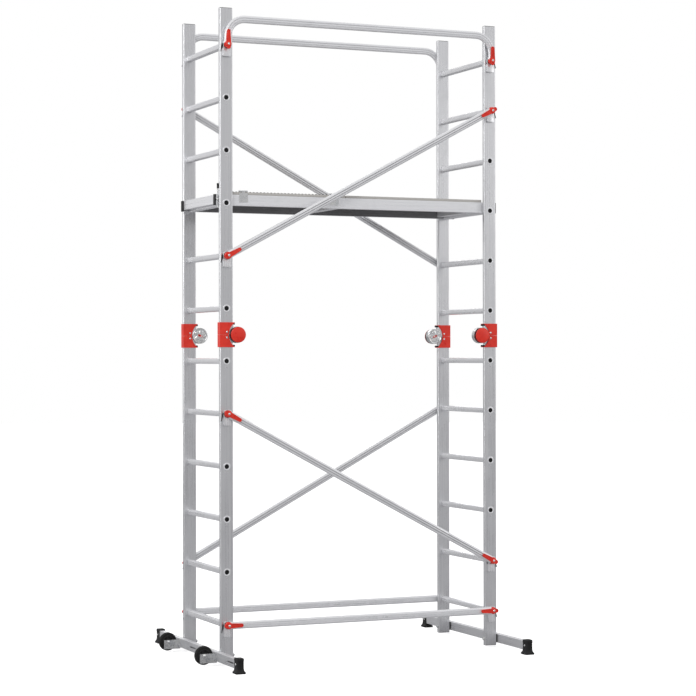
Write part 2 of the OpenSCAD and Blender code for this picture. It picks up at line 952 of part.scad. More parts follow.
// Half of a hinge cover, above the hinge's middle: a sleeve whose inner edge is cut by the bay
module cover_half() {
    low = cover_seam / 2;
    deep = stile_t + 2 * cheek_t + 2 * fit;
    corner_x = 46;
    outer_x = stile_w / 2 + fit + cover_t;
    difference() {
        translate([0, cheek_t + fit + cover_t, low])
            rotate([90, 0, 0])
                linear_extrude(height = deep + 2 * cover_t)
                    translate([(corner_x - outer_x) / 2, (cover_h - low) / 2])
                        rounded_square(corner_x + outer_x, cover_h - low, 1.5);
        translate([-stile_w / 2 - fit, -stile_t - cheek_t - fit, low - eps])
            cube([2 * stile_w, deep, cover_h - cover_t - low + eps]);
        translate([0, -stile_t / 2, 0])
            linear_extrude(height = 2 * cover_h)
                rounded_square(stile_w + 2 * fit, stile_t + 2 * fit, stile_r);
        translate([bay_x, 0, 0])
            rod_y(2 * bay_r, -2 * stile_t, stile_t, $fn = 96);
        translate([0, 0, rivet_z])
            rod_y(rivet_d + 2 * fit, -2 * stile_t, stile_t);
    }
}

module hinge_covers() {
    color("red")
        for (side = [LEFT, RIGHT], face = [FRONT, BACK], half = [0, 1])
            at_hinge(side, face)
                translate([-hinge_x, 0, 0])
                    mirror([0, 0, half])
                        cover_half();
}

// A shouldered pin: its head on the inner cheek and its free end guiding the knob
module hinge_pin() {
    guide_y = knob_y + 3;
    rod_y(hinge_pin_d, -stile_t - cheek_t - 1, guide_y);
    rod_y(1.7 * hinge_pin_d, -stile_t - cheek_t - 4, -stile_t - cheek_t);
}

module hinge_pins() {
    color("whitesmoke")
        for (side = [LEFT, RIGHT], face = [FRONT, BACK])
            at_hinge(side, face)
                hinge_pin();
}

spring_top = knob_y + knob_h - knob_roof;

// A plain sleeve of the coil spring's size, between the outer cheek and the knob's roof
module hinge_springs() {
    color("gray")
        for (side = [LEFT, RIGHT], face = [FRONT, BACK])
            at_hinge(side, face)
                difference() {
                    rod_y(spring_d, cheek_t, spring_top);
                    rod_y(spring_d - 2 * spring_wall, cheek_t - eps, spring_top + eps);
                }
}

module hinge_rivet() {
    out_y = cheek_t + fit + cover_t;
    rod_y(rivet_d, -stile_t - out_y - 1, out_y + 1);
    head_y(rivet_head_d, out_y, rivet_head_h);
    translate([0, -stile_t, 0])
        mirror([0, 1, 0])
            head_y(rivet_head_d, out_y, rivet_head_h);
}

module hinge_rivets() {
    color("white")
        for (side = [LEFT, RIGHT], face = [FRONT, BACK], up = [-1, 1])
            at_hinge(side, face)
                translate([-hinge_x, 0, up * rivet_z])
                    hinge_rivet();
}

// The knob is a domed cup with a guide boss, and carries its two stepped lock pins
module knob(side, face) {
    top_y = knob_y + knob_h;
    dome_r = (knob_d * knob_d / 4 + knob_dome * knob_dome) / (2 * knob_dome);
    boss_d = hinge_pin_d + 8;
    neck_d = lock_pin_d - 4;
    color("red")
        at_hinge(side, face) {
            difference() {
                translate([0, knob_y, 0])
                    rotate([-90, 0, 0])
                        rotate_extrude($fn = 96)
                            intersection() {
                                square([knob_d / 2, knob_h]);
                                translate([0, knob_h - dome_r])
                                    circle(r = dome_r, $fn = 180);
                            }
                difference() {
                    rod_y(knob_d - 2 * knob_wall, knob_y - eps, top_y - knob_roof);
                    rod_y(boss_d, knob_y - 2 * eps, top_y);
                    lock_pin_places()
                        rod_y(neck_d + 6, top_y - knob_roof - 4, top_y);
                }
                rod_y(hinge_pin_d + 2 * run_fit, knob_y - eps, top_y - knob_roof);
            }
            lock_pin_places() {
                rod_y(lock_pin_d, -lock_pin_in, cheek_t);
                rod_y(neck_d, cheek_t - 0.5, top_y - knob_roof);
            }
        }
}

// ---------- Platform ----------

module deck_rail_section() {
    difference() {
        rounded_square(deck_rail_w, deck_rail_h, 2);
        rounded_square(deck_rail_w - 2 * deck_rail_wall, deck_rail_h - 2 * deck_rail_wall, 1);
        for (z = [-1, 0, 1])
            translate([deck_rail_w / 2 + 0.4, z * deck_rail_h / 4])
                circle(r = 1, $fn = 16);
    }
}

// A rail's span, from end to end without its caps
deck_rail_l = tower_w + 2 * rail_past;

module deck_rail() {
    notch_w = rung_w + 2;
    translate([shift_x - deck_rail_l / 2, 0, deck_rail_z])
        difference() {
            translate([0, 0, deck_rail_h / 2])
                rotate([90, 0, 90])
                    linear_extrude(height = deck_rail_l)
                        deck_rail_section();
            for (x = [rail_past, deck_rail_l - rail_past])
                translate([x - notch_w / 2, -deck_rail_w, -eps])
                    cube([notch_w, 2 * deck_rail_w, rung_hook + eps]);
        }
}

module platform_rails() {
    color("gainsboro")
        for (face = [FRONT, BACK])
            mirror([0, face < 0 ? 1 : 0, 0])
                translate([0, deck_rail_y, 0])
                    difference() {
                        deck_rail();
                        if (face == FRONT)
                            translate([frame_x(LEFT) - lock_x, 0, lock_z])
                                rod_y(lock_bolt_d + 2 * fit, 0, deck_rail_w);
                    }
}

// Where the middle of each cross beam lies along X, and how wide it is
beam_rows = [
    [frame_x(LEFT) - rail_past + 14, 24],
    [frame_x(LEFT) + beam_at, beam_w],
    [frame_x(LEFT) + mid_beam, beam_w + 10],
    [frame_x(RIGHT) - beam_at, beam_w],
    [frame_x(RIGHT) + rail_past - 14, 24]
];

module platform_beams() {
    wall = 2;
    color("silver")
        for (row = beam_rows)
            translate([row[0], 0, deck_z - beam_h / 2])
                rotate([90, 0, 0])
                    linear_extrude(height = 2 * deck_in_y, center = true)
                        difference() {
                            rounded_square(row[1], beam_h, 2);
                            rounded_square(row[1] - 2 * wall, beam_h - 2 * wall, 1);
                        }
}

module rail_end_caps() {
    plug_w = deck_rail_w - 2 * deck_rail_wall - 2 * fit;
    plug_h = deck_rail_h - 2 * deck_rail_wall - 2 * fit;
    plug_in = 12;
    color("black")
        difference() {
            for (side = [LEFT, RIGHT], face = [FRONT, BACK])
                translate([shift_x + side * deck_rail_l / 2, face * deck_rail_y, deck_rail_z + deck_rail_h / 2])
                    rotate([0, side * 90, 0]) {
                        linear_extrude(height = rail_cap_t)
                            rounded_square(deck_rail_h, deck_rail_w, 4);
                        translate([0, 0, -plug_in])
                            linear_extrude(height = plug_in)
                                rounded_square(plug_h, plug_w, 1);
                    }
            at_lock()
                rod_y(lock_bolt_d + 2 * run_fit, -deck_rail_w, 0);
        }
}

// A board that lies on the rails from x0 to x1
module board(x0, x1, seat) {
    translate([x0, -deck_out_y + 1, deck_z + seat])
        cube([x1 - x0, 2 * deck_out_y - 2, deck_t - seat]);
}

module deck_board() {
    color("dimgray")
        board(hatch_to + 3, board_to, 0);
}

module hatch_lid() {
    color("dimgray")
        board(hatch_from, hatch_to, play);
}

hatch_axis_y = -deck_out_y + 3.5;
hatch_axis_z = deck_z + deck_t + hatch_pin_up;
hatch_hinge_rows = [hatch_from + hatch_hinge_in, hatch_to - hatch_hinge_in];
knuckle_third = hatch_hinge_w / 3;

module at_hatch_hinge() {
    for (x = hatch_hinge_rows)
        translate([x, hatch_axis_y, hatch_axis_z])
            children();
}

// The moving leaves: a plate on the lid whose outer thirds curl round the pin
module hatch_leaves() {
    curl_d = hatch_pin_d + 2 * leaf_t - 1;
    leaf_z = -hatch_pin_up;
    color("silver")
        at_hatch_hinge()
            difference() {
                union() {
                    for (x = [-1, 1])
                        translate([x * knuckle_third, 0, 0]) {
                            rod_x(curl_d, -knuckle_third / 2 + 0.2, knuckle_third / 2 - 0.2);
                            translate([-knuckle_third / 2 + 0.2, 0, leaf_z])
                                cube([knuckle_third - 0.4, 8, hatch_pin_up]);
                        }
                    translate([-hatch_hinge_w / 2 + 0.2, 6, leaf_z])
                        cube([hatch_hinge_w - 0.4, leaf_l - 6, leaf_t]);
                }
                rod_x(hatch_pin_d + 2 * run_fit, -hatch_hinge_w, hatch_hinge_w);
            }
}

// The fixed half: a plate on the rail's outer face, with a pin through the middle knuckle
module hatch_brackets() {
    plate_h = 50;
    plate_y0 = -deck_out_y - hatch_axis_y - leaf_t;
    color("gainsboro")
        at_hatch_hinge() {
            translate([-hatch_hinge_w / 2, plate_y0, -hatch_pin_up - deck_t - 40])
                cube([hatch_hinge_w, leaf_t, plate_h]);
            translate([-knuckle_third / 2, plate_y0, -hatch_pin_up - deck_t])
                cube([knuckle_third, leaf_t, hatch_pin_up + deck_t]);
            translate([-knuckle_third / 2, plate_y0, -1.5])
                cube([knuckle_third, -plate_y0, 3]);
            rod_x(hatch_pin_d + 3, -knuckle_third / 2, knuckle_third / 2);
            rod_x(hatch_pin_d, -hatch_hinge_w / 2, hatch_hinge_w / 2);
        }
}

// Puts its children on the front rail's outer face, with y outwards
module at_lock() {
    translate([frame_x(LEFT) - lock_x, -lock_y, lock_z])
        mirror([0, 1, 0])
            children();
}

// The wind lock: a bar beside the front rail whose toe reaches under the rung
module wind_lock() {
    toe_z = rung_z(deck_rung) - rung_w / 2 - toe_clear - lock_z;
    color("slategray")
        at_lock()
            difference() {
                union() {
                    translate([-lock_w / 2, 0, toe_z - lock_w])
                        cube([lock_w, lock_t, lock_rise - toe_z + lock_w]);
                    translate([-lock_w / 2, 0, toe_z - lock_w])
                        cube([lock_toe, lock_t, lock_w]);
                    rod_y(1.8 * lock_w, 0, lock_t);
                }
                rod_y(lock_bolt_d + 2 * run_fit, -eps, lock_t + eps);
            }
}

// The bolt that the wind lock turns on, held in the rail's outer wall
module wind_lock_bolt() {
    color("whitesmoke")
        at_lock() {
            rod_y(lock_bolt_d, -deck_rail_w / 2, lock_t + play + eps);
            head_y(lock_head_d, lock_t + play, lock_head_h);
        }
}

// ---------- Node switch ----------

lower_stiles(LEFT);  // left_lower_stiles
upper_stiles(LEFT);  // left_upper_stiles
lower_stiles(RIGHT);  // right_lower_stiles
upper_stiles(RIGHT);  // right_upper_stiles
rungs(LEFT);  // left_rungs
rungs(RIGHT);  // right_rungs
stile_caps();
base_bars();
bar_pads();
base_feet();
base_bolts();
wheel_brackets();
wheel_axles();
wheel_hub(FRONT);  // front_wheel_hub
wheel_tyre(FRONT);  // front_wheel_tyre
wheel_hub(BACK);  // back_wheel_hub
wheel_tyre(BACK);  // back_wheel_tyre
brace_pair(FRONT);  // front_braces
brace_pair(BACK);  // back_braces
base_braces();
guard_rails();
clamp_hooks();
clamp_plates();
clamp_knuckles();
clamp_pins();
lever(LEFT, FRONT, "rail");  // lever_front_rail_left
lever(RIGHT, FRONT, "rail");  // lever_front_rail_right
lever(LEFT, FRONT, "upper");  // lever_front_upper_left
lever(RIGHT, FRONT, "upper");  // lever_front_upper_right
lever(LEFT, FRONT, "lower");  // lever_front_lower_left
lever(RIGHT, FRONT, "lower");  // lever_front_lower_right
lever(LEFT, FRONT, "base");  // lever_front_base_left
lever(RIGHT, FRONT, "base");  // lever_front_base_right
lever(LEFT, BACK, "rail");  // lever_back_rail_left
lever(RIGHT, BACK, "rail");  // lever_back_rail_right
lever(LEFT, BACK, "upper");  // lever_back_upper_left
lever(RIGHT, BACK, "upper");  // lever_back_upper_right
lever(LEFT, BACK, "lower");  // lever_back_lower_left
lever(RIGHT, BACK, "lower");  // lever_back_lower_right
lever(LEFT, BACK, "base");  // lever_back_base_left
lever(RIGHT, BACK, "base");  // lever_back_base_right
hinge_cheeks();
hinge_drums();
hinge_covers();
hinge_pins();
hinge_springs();
hinge_rivets();
knob(LEFT, FRONT);  // knob_front_left
knob(RIGHT, FRONT);  // knob_front_right
knob(LEFT, BACK);  // knob_back_left
knob(RIGHT, BACK);  // knob_back_right
platform_rails();
platform_beams();
rail_end_caps();
deck_board();
hatch_lid();
hatch_leaves();
hatch_brackets();
wind_lock();
wind_lock_bolt();
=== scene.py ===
"""Looks of the mobile tower scaffold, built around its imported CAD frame. Metres, X across, -Y front, Z up."""

import json
import math

import bmesh
import bpy
from mathutils import Matrix, Vector


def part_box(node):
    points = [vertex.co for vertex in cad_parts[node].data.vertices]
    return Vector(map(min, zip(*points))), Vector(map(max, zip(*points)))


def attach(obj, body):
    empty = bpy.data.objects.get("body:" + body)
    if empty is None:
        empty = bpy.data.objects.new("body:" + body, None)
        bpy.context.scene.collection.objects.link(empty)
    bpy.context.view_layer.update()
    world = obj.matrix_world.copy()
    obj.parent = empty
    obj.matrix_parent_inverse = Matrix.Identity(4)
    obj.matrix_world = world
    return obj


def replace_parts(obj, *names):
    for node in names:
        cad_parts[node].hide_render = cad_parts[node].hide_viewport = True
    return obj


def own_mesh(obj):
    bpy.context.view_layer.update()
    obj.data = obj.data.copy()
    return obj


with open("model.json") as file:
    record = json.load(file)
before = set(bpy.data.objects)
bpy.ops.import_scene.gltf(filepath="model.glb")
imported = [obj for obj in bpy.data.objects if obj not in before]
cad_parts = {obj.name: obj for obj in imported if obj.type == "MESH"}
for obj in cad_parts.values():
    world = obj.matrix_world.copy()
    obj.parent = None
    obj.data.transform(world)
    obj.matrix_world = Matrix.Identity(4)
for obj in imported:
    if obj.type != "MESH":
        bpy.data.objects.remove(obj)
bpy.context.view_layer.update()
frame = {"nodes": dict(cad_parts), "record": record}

RECORD = frame["record"]
JOINTS = {j["name"]: j for j in RECORD["behaviour"]["joints"]}
SLOTS = {s["node"]: s["material_slot"] for s in RECORD["subparts"]}
ROOT = "tower"
LEFT, RIGHT = -1, 1
FRONT, BACK = -1, 1
SIDES = {LEFT: "left", RIGHT: "right"}
FACES = {FRONT: "front", BACK: "back"}
LEVELS = ("rail", "upper", "lower", "base")
STILES = [(side, face) for side in SIDES for face in FACES]
CLAMPS = [(face, level, side) for face in FACES for level in LEVELS for side in SIDES]
MM = 0.001
QUARTER = math.pi / 2


# ---------- Places, worked out from the frame ----------

def middle(node):
    """The centre of a CAD node's box."""
    low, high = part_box(node)
    return (low + high) / 2


FRAME_X = {side: middle(f"{SIDES[side]}_lower_stiles").x for side in SIDES}
STILE_LOW, STILE_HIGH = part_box("left_lower_stiles")
STILE_W = STILE_HIGH.x - STILE_LOW.x
STILE_OUT = STILE_HIGH.y
STILE_T = 25 * MM
STILE_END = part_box("left_upper_stiles")[1].z
HINGE_Z = middle("knob_front_left").z
HINGE_IN = abs(middle("knob_front_left").x - FRAME_X[LEFT])
FLARE_R = 20.5 * MM
RUNG_LOW, RUNG_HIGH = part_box("left_rungs")
RUNG_COUNT = 12
RUNG_FIRST = RUNG_LOW.z + FLARE_R
RUNG_STEP = (RUNG_HIGH.z - FLARE_R - RUNG_FIRST) / (RUNG_COUNT - 1)
RUNG_W = 30 * MM
RUNG_OUT = RUNG_HIGH.y
TUBE_W, TUBE_T = 40 * MM, 20 * MM
TUBE_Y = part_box("guard_rails")[1].y - TUBE_T / 2
GROOVE_X, GROOVE_HALF, GROOVE_DEPTH = 6 * MM, 2.2 * MM, 2.8 * MM
LOCK_PIN_R = 27 * MM
LOCK_PINS = [(LOCK_PIN_R * math.cos(a), -LOCK_PIN_R * math.sin(a)) for a in (math.radians(60), math.radians(240))]


def rung_z(number):
    """The height of a rung's middle. Rung 1 is the lowest."""
    return RUNG_FIRST + (number - 1) * RUNG_STEP


def stile_frame(side, face, z, inward=0.0):
    """A stile's own axes: x into the tower, y outwards from its outer face, z up."""
    return Matrix((
        (-side, 0, 0, FRAME_X[side] - side * inward),
        (0, face, 0, face * STILE_OUT),
        (0, 0, 1, z),
        (0, 0, 0, 1),
    ))


def lever_place(face, level, side):
    """The place of a clamp, and the slope of its tube, from the lever's joint and its mate's."""
    here = Vector(JOINTS[f"lever_{FACES[face]}_{level}_{SIDES[side]}_pivot"]["pos_m"])
    mate = Vector(JOINTS[f"lever_{FACES[face]}_{level}_{SIDES[-side]}_pivot"]["pos_m"])
    slope = math.pi / 2 if level == "rail" else math.atan2(mate.z - here.z, abs(mate.x - here.x))
    return stile_frame(side, face, here.z), slope


def at(x=0.0, y=0.0, z=0.0):
    return Matrix.Translation((x, y, z))


def turned(angle, axis):
    return Matrix.Rotation(angle, 4, axis)


def in_mm(points):
    """Points given in millimetres, in metres."""
    return [tuple(value * MM for value in point) for point in points]


def mirrored(half):
    """The (radius, height) points of one half in millimetres, and their mirror image, in metres."""
    return in_mm(half + [(r, -h) for r, h in reversed(half)])


# ---------- Mesh building ----------

def link_new(name, data):
    """A new object in the scene, for a mesh, a lamp or a camera."""
    item = bpy.data.objects.new(name, data)
    bpy.context.scene.collection.objects.link(item)
    return item


def finish_mesh(bm, name, matrix, material, slot, body, sharp=32, bake_matrix=True):
    """Turns bm into a piece that rides on body. A mirroring matrix goes into the mesh."""
    if bake_matrix:
        bm.transform(matrix)
        matrix = Matrix.Identity(4)
    bmesh.ops.remove_doubles(bm, verts=bm.verts, dist=2e-6)
    bmesh.ops.recalc_face_normals(bm, faces=bm.faces)
    mesh = bpy.data.meshes.new(name)
    bm.to_mesh(mesh)
    bm.free()
    mesh.shade_smooth()
    mesh.set_sharp_from_angle(angle=math.radians(sharp))
    piece = link_new(name, mesh)
    piece.matrix_world = matrix
    mesh.materials.append(material)
    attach(piece, body)
    return piece


def add_loft(bm, rings, matrix=None, closed=True, capped=True):
    """A skin over rings of points. With closed rings, capped closes both ends."""
    rows = []
    for ring in rings:
        rows.append([bm.verts.new(matrix @ Vector(p) if matrix else Vector(p)) for p in ring])
    for a, b in zip(rows, rows[1:]):
        count = len(a) if closed else len(a) - 1
        for i in range(count):
            j = (i + 1) % len(a)
            bm.faces.new((a[i], a[j], b[j], b[i]))
    if capped:
        bm.faces.new(rows[0][::-1])
        bm.faces.new(rows[-1])
    return rows


def add_lathe(bm, profile, matrix=None, steps=32, capped=True):
    """Turns (radius, height) points round the local Y axis. A zero radius closes that end."""
    angles = [2 * math.pi * i / steps for i in range(steps)]
    rings = []
    for radius, height in profile:
        r = max(radius, 1e-5)
        rings.append([(r * math.cos(a), height, r * math.sin(a)) for a in angles])
    add_loft(bm, rings, matrix, capped=capped)


def add_plate(bm, outlines, thickness, bevel, matrix=None):
    """A flat plate in the local XZ plane with rounded edges. The first outline is its edge, others are holes."""
    curve = bpy.data.curves.new("outline", "CURVE")
    curve.dimensions = "2D"
    curve.fill_mode = "BOTH"
    curve.extrude = thickness / 2 - bevel
    curve.bevel_depth = bevel
    curve.bevel_resolution = 1
    curve.offset = -bevel
    for outline in outlines:
        spline = curve.splines.new("POLY")
        spline.points.add(len(outline) - 1)
        for point, (x, z) in zip(spline.points, outline):
            point.co = (x, z, 0, 1)
        spline.use_cyclic_u = True
    holder = bpy.data.objects.new("outline", curve)
    mesh = bpy.data.meshes.new_from_object(holder)
    swap = Matrix(((1, 0, 0, 0), (0, 0, 1, 0), (0, 1, 0, 0), (0, 0, 0, 1)))
    mesh.transform((matrix or Matrix.Identity(4)) @ swap)
    bm.from_mesh(mesh)
    bpy.data.objects.remove(holder)
    bpy.data.curves.remove(curve)
    bpy.data.meshes.remove(mesh)


def circle(radius, steps=32):
    turn = 2 * math.pi / steps
    return [(radius * math.cos(i * turn), radius * math.sin(i * turn)) for i in range(steps)]


def rounded_rect(width, height, radius, steps=4, x=0.0, z=0.0):
    """The outline of a rectangle round (x, z), with steps sides in each rounded corner."""
    points = []
    for corner, (sx, sz) in enumerate(((1, 1), (-1, 1), (-1, -1), (1, -1))):
        cx = x + sx * (width / 2 - radius)
        cz = z + sz * (height / 2 - radius)
        for i in range(steps + 1):
            angle = math.pi / 2 * (corner + i / steps)
            points.append((cx + radius * math.cos(angle), cz + radius * math.sin(angle)))
    return points


def dome(radius, height, base=0.0, edge=0.35):
    """The (radius, height) profile of a low domed head that stands on base."""
    points = [(radius, base), (radius, base + edge * height)]
    for i in range(1, 6):
        angle = math.pi / 2 * i / 5
        points.append((radius * math.cos(angle), base + height * (edge + (1 - edge) * math.sin(angle))))
    return points


# ---------- Materials ----------

def add_node(tree, kind, inputs=None, **settings):
    """A new node. Each input is a socket to link from, or a value."""
    node = tree.nodes.new(kind)
    for key, value in settings.items():
        setattr(node, key, value)
    for key, value in (inputs or {}).items():
        if isinstance(value, bpy.types.NodeSocket):
            tree.links.new(value, node.inputs[key])
        else:
            node.inputs[key].default_value = value
    return node


class Nodes:
    """A node material with one Principled shader, whose constant inputs are set by name."""

    def __init__(self, name, **constants):
        self.material = bpy.data.materials.new(name)
        self.material.use_nodes = True
        self.tree = self.material.node_tree
        self.shader = self.tree.nodes["Principled BSDF"]
        self.place = self.add("ShaderNodeTexCoord").outputs["Object"]
        for key, value in constants.items():
            self.shader.inputs[key.replace("_", " ")].default_value = value

    def add(self, kind, inputs=None, **settings):
        return add_node(self.tree, kind, inputs, **settings)

    def scaled(self, scale):
        return self.add("ShaderNodeMapping", {"Vector": self.place, "Scale": scale}).outputs["Vector"]

    def noise(self, scale, detail=3.0, rough=0.55, stretch=(1, 1, 1)):
        inputs = {"Vector": self.scaled(stretch), "Scale": scale, "Detail": detail, "Roughness": rough}
        return self.add("ShaderNodeTexNoise", inputs).outputs["Fac"]

    def spread(self, value, low, high, start=0.35, end=0.65):
        """Maps value's range from start to end onto low to high."""
        inputs = {"Value": value, "From Min": start, "From Max": end, "To Min": low, "To Max": high}
        return self.add("ShaderNodeMapRange", inputs).outputs["Result"]

    def mixed(self, factor, a, b):
        node = self.add("ShaderNodeMix", {"Factor": factor}, data_type="RGBA")
        for socket, value in ((node.inputs[6], a), (node.inputs[7], b)):
            if isinstance(value, bpy.types.NodeSocket):
                self.tree.links.new(value, socket)
            else:
                socket.default_value = (*value, 1)
        return node.outputs[2]

    def math(self, operation, a, b):
        return self.add("ShaderNodeMath", {0: a, 1: b}, operation=operation).outputs[0]

    def bump(self, height, strength, distance, normal=None):
        inputs = {"Height": height, "Strength": strength, "Distance": distance}
        if normal:
            inputs["Normal"] = normal
        return self.add("ShaderNodeBump", inputs).outputs["Normal"]

    def set(self, **links):
        """Links sockets to the shader's inputs by name."""
        for key, value in links.items():
            self.tree.links.new(value, self.shader.inputs[key.replace("_", " ")])


def tint(level, red, green, blue):
    return level * red, level * green, level * blue


def stretch_along(axis, along, across):
    """A noise scale that is along on one axis and across on the other two."""
    return tuple(along if name == axis else across for name in "XYZ")


def aluminium(name, axis, bright, rough, metal=1.0, shade_inside=0.0):
    """Extruded mill-finish aluminium: die lines, smudges and scuffs. Where |y| is under shade_inside it carries
    painted shade, a flat dark grey.
    """
    n = Nodes(name, Metallic=metal)
    lines = n.noise(1.0, 4.0, 0.65, stretch_along(axis, 1.6, 420))
    wide_lines = n.noise(1.0, 2.0, 0.5, stretch_along(axis, 0.8, 95))
    smudge = n.noise(9.0, 4.0, 0.6)
    cloud = n.noise(2.2, 2.0, 0.5)
    scuff = n.noise(1.0, 5.0, 0.7, stretch_along(axis, 26, 150))
    base = n.mixed(n.spread(lines, 0, 1), tint(bright, 0.90, 0.905, 0.93), tint(bright, 1, 1, 1.01))
    base = n.mixed(n.spread(smudge, 0, 0.30, 0.52, 0.75), base, tint(bright, 0.74, 0.745, 0.76))
    base = n.mixed(n.spread(scuff, 0, 0.5, 0.66, 0.74), base, tint(bright, 0.60, 0.60, 0.62))
    roughness = n.math("ADD", n.spread(lines, rough - 0.07, rough + 0.09), n.spread(cloud, -0.03, 0.05))
    roughness = n.math("ADD", roughness, n.spread(smudge, 0, 0.12, 0.5, 0.7))
    normal = n.bump(wide_lines, 0.18, 0.0006)
    normal = n.bump(lines, 0.12, 0.0002, normal)
    # Painted shade: faces whose |y| is under shade_inside turn a flat dark grey.
    if shade_inside:
        y = n.add("ShaderNodeSeparateXYZ", {0: n.place}).outputs[1]
        painted_shade = n.spread(n.math("ABSOLUTE", y, 0), 1, 0, shade_inside + 0.5 * MM, shade_inside + 1.5 * MM)
        base = n.mixed(painted_shade, base, (0.30, 0.30, 0.31))
    n.set(Base_Color=base, Roughness=roughness, Normal=normal)
    return n.material


def zinc_steel(name, bright, rough):
    """Zinc-plated pressed steel: fine grain, cloudy plating and dull spots."""
    n = Nodes(name, Metallic=1.0)
    grain = n.noise(900, 3.0, 0.6)
    cloud = n.noise(38, 4.0, 0.6)
    spot = n.noise(160, 2.0, 0.5)
    base = n.mixed(n.spread(cloud, 0, 1), tint(bright, 0.86, 0.88, 0.90), tint(bright, 1, 1, 0.98))
    base = n.mixed(n.spread(spot, 0, 0.22, 0.62, 0.72), base, tint(bright, 0.55, 0.54, 0.50))
    roughness = n.math("ADD", n.spread(cloud, rough - 0.06, rough + 0.10), n.spread(grain, -0.03, 0.03))
    n.set(Base_Color=base, Roughness=roughness, Normal=n.bump(grain, 0.10, 0.0002))
    return n.material


def red_plastic(name):
    """Moulded red nylon: a fine spark texture, slight cloudiness, and edges paler with painted highlight and some
    wear.
    """
    n = Nodes(name, IOR=1.5)
    grain = n.noise(1500, 2.0, 0.5)
    cloud = n.noise(24, 3.0, 0.6)
    rub_and_highlight = n.noise(70, 4.0, 0.65)
    # Painted highlight and wear: edges, found by the bevel normal, turn a paler red, more so where the noise is high.
    edge = n.add("ShaderNodeBevel", {"Radius": 0.0016}, samples=4).outputs["Normal"]
    face = n.add("ShaderNodeNewGeometry").outputs["Normal"]
    same = n.add("ShaderNodeVectorMath", {0: edge, 1: face}, operation="DOT_PRODUCT").outputs["Value"]
    edge_highlight_and_wear = n.math("MULTIPLY", n.spread(same, 1, 0, 0.80, 0.985), n.spread(rub_and_highlight, 0, 0.6))
    base = n.mixed(n.spread(cloud, 0, 1), (0.82, 0.026, 0.013), (0.94, 0.042, 0.020))
    base = n.mixed(edge_highlight_and_wear, base, (0.90, 0.20, 0.15))
    roughness = n.math("ADD", n.spread(cloud, 0.24, 0.34), n.spread(rub_and_highlight, 0, 0.10))
    n.set(Base_Color=base, Roughness=roughness, Normal=n.bump(grain, 0.10, 0.0002))
    return n.material


def black_plastic(name, dark, rough):
    """Black moulded plastic with a fine grain and grey handling marks."""
    n = Nodes(name, IOR=1.48)
    grain = n.noise(1200, 2.0, 0.5)
    dust = n.noise(30, 5.0, 0.65)
    base = n.mixed(n.spread(dust, 0, 0.55, 0.45, 0.75), tint(dark, 1, 1, 1.05), tint(dark, 3, 3, 3))
    n.set(Base_Color=base, Roughness=n.spread(dust, rough - 0.06, rough + 0.14), Normal=n.bump(grain, 0.14, 0.0003))
    return n.material


def rubber(name, dark):
    """Matt black rubber, mottled and a little dusty."""
    n = Nodes(name, Specular_IOR_Level=0.35)
    mottle = n.noise(420, 4.0, 0.6)
    dust = n.noise(18, 5.0, 0.7)
    base = n.mixed(n.spread(dust, 0, 0.6, 0.5, 0.8), tint(dark, 1, 1, 1.04), tint(dark, 3, 2.9, 2.8))
    n.set(Base_Color=base, Roughness=n.spread(dust, 0.58, 0.78), Normal=n.bump(mottle, 0.30, 0.0004))
    return n.material


def deck_plywood(name):
    """Film-faced birch ply: a dark pressed mesh on its faces and pale glued layers on its edges."""
    n = Nodes(name)
    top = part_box("deck_board")[1].z
    parts = n.add("ShaderNodeSeparateXYZ", {0: n.place}).outputs
    facing = n.add("ShaderNodeSeparateXYZ", {0: n.add("ShaderNodeNewGeometry").outputs["Normal"]}).outputs[2]
    flat = n.spread(n.math("ABSOLUTE", facing, 0), 0, 1, 0.6, 0.8)
    depth = n.math("SUBTRACT", top, parts[2])
    layer = n.math("SINE", n.math("MULTIPLY", depth, 2 * math.pi / (2.8 * MM)), 0)
    fibre = n.noise(1.0, 3.0, 0.6, (30, 30, 900))
    edge = n.mixed(n.spread(layer, 0, 1, -0.3, 0.3), (0.62, 0.60, 0.57), (0.50, 0.48, 0.45))
    edge = n.mixed(n.spread(fibre, 0, 0.5), edge, (0.66, 0.64, 0.61))
    mesh = {"Vector": n.scaled((1, 1.15, 0.02)), "Scale": 170, "Randomness": 0.15}
    cell = n.add("ShaderNodeTexVoronoi", mesh, feature="DISTANCE_TO_EDGE").outputs["Distance"]
    wear = n.noise(5.0, 5.0, 0.65)
    film = n.mixed(n.spread(wear, 0, 0.75, 0.48, 0.72), (0.055, 0.042, 0.034), (0.125, 0.105, 0.088))
    film = n.mixed(n.spread(cell, 0.45, 0, 0.02, 0.12), film, (0.16, 0.14, 0.12))
    n.set(Base_Color=n.mixed(flat, edge, film), Roughness=n.spread(wear, 0.38, 0.62),
          Normal=n.bump(n.spread(cell, 1, 0, 0.0, 0.14), 0.5, 0.0006))
    return n.material


# The |y| of the platform rails' inner sides, which carry painted shade
RAIL_W = 25 * MM
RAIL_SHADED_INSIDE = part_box("platform_rails")[1].y - RAIL_W

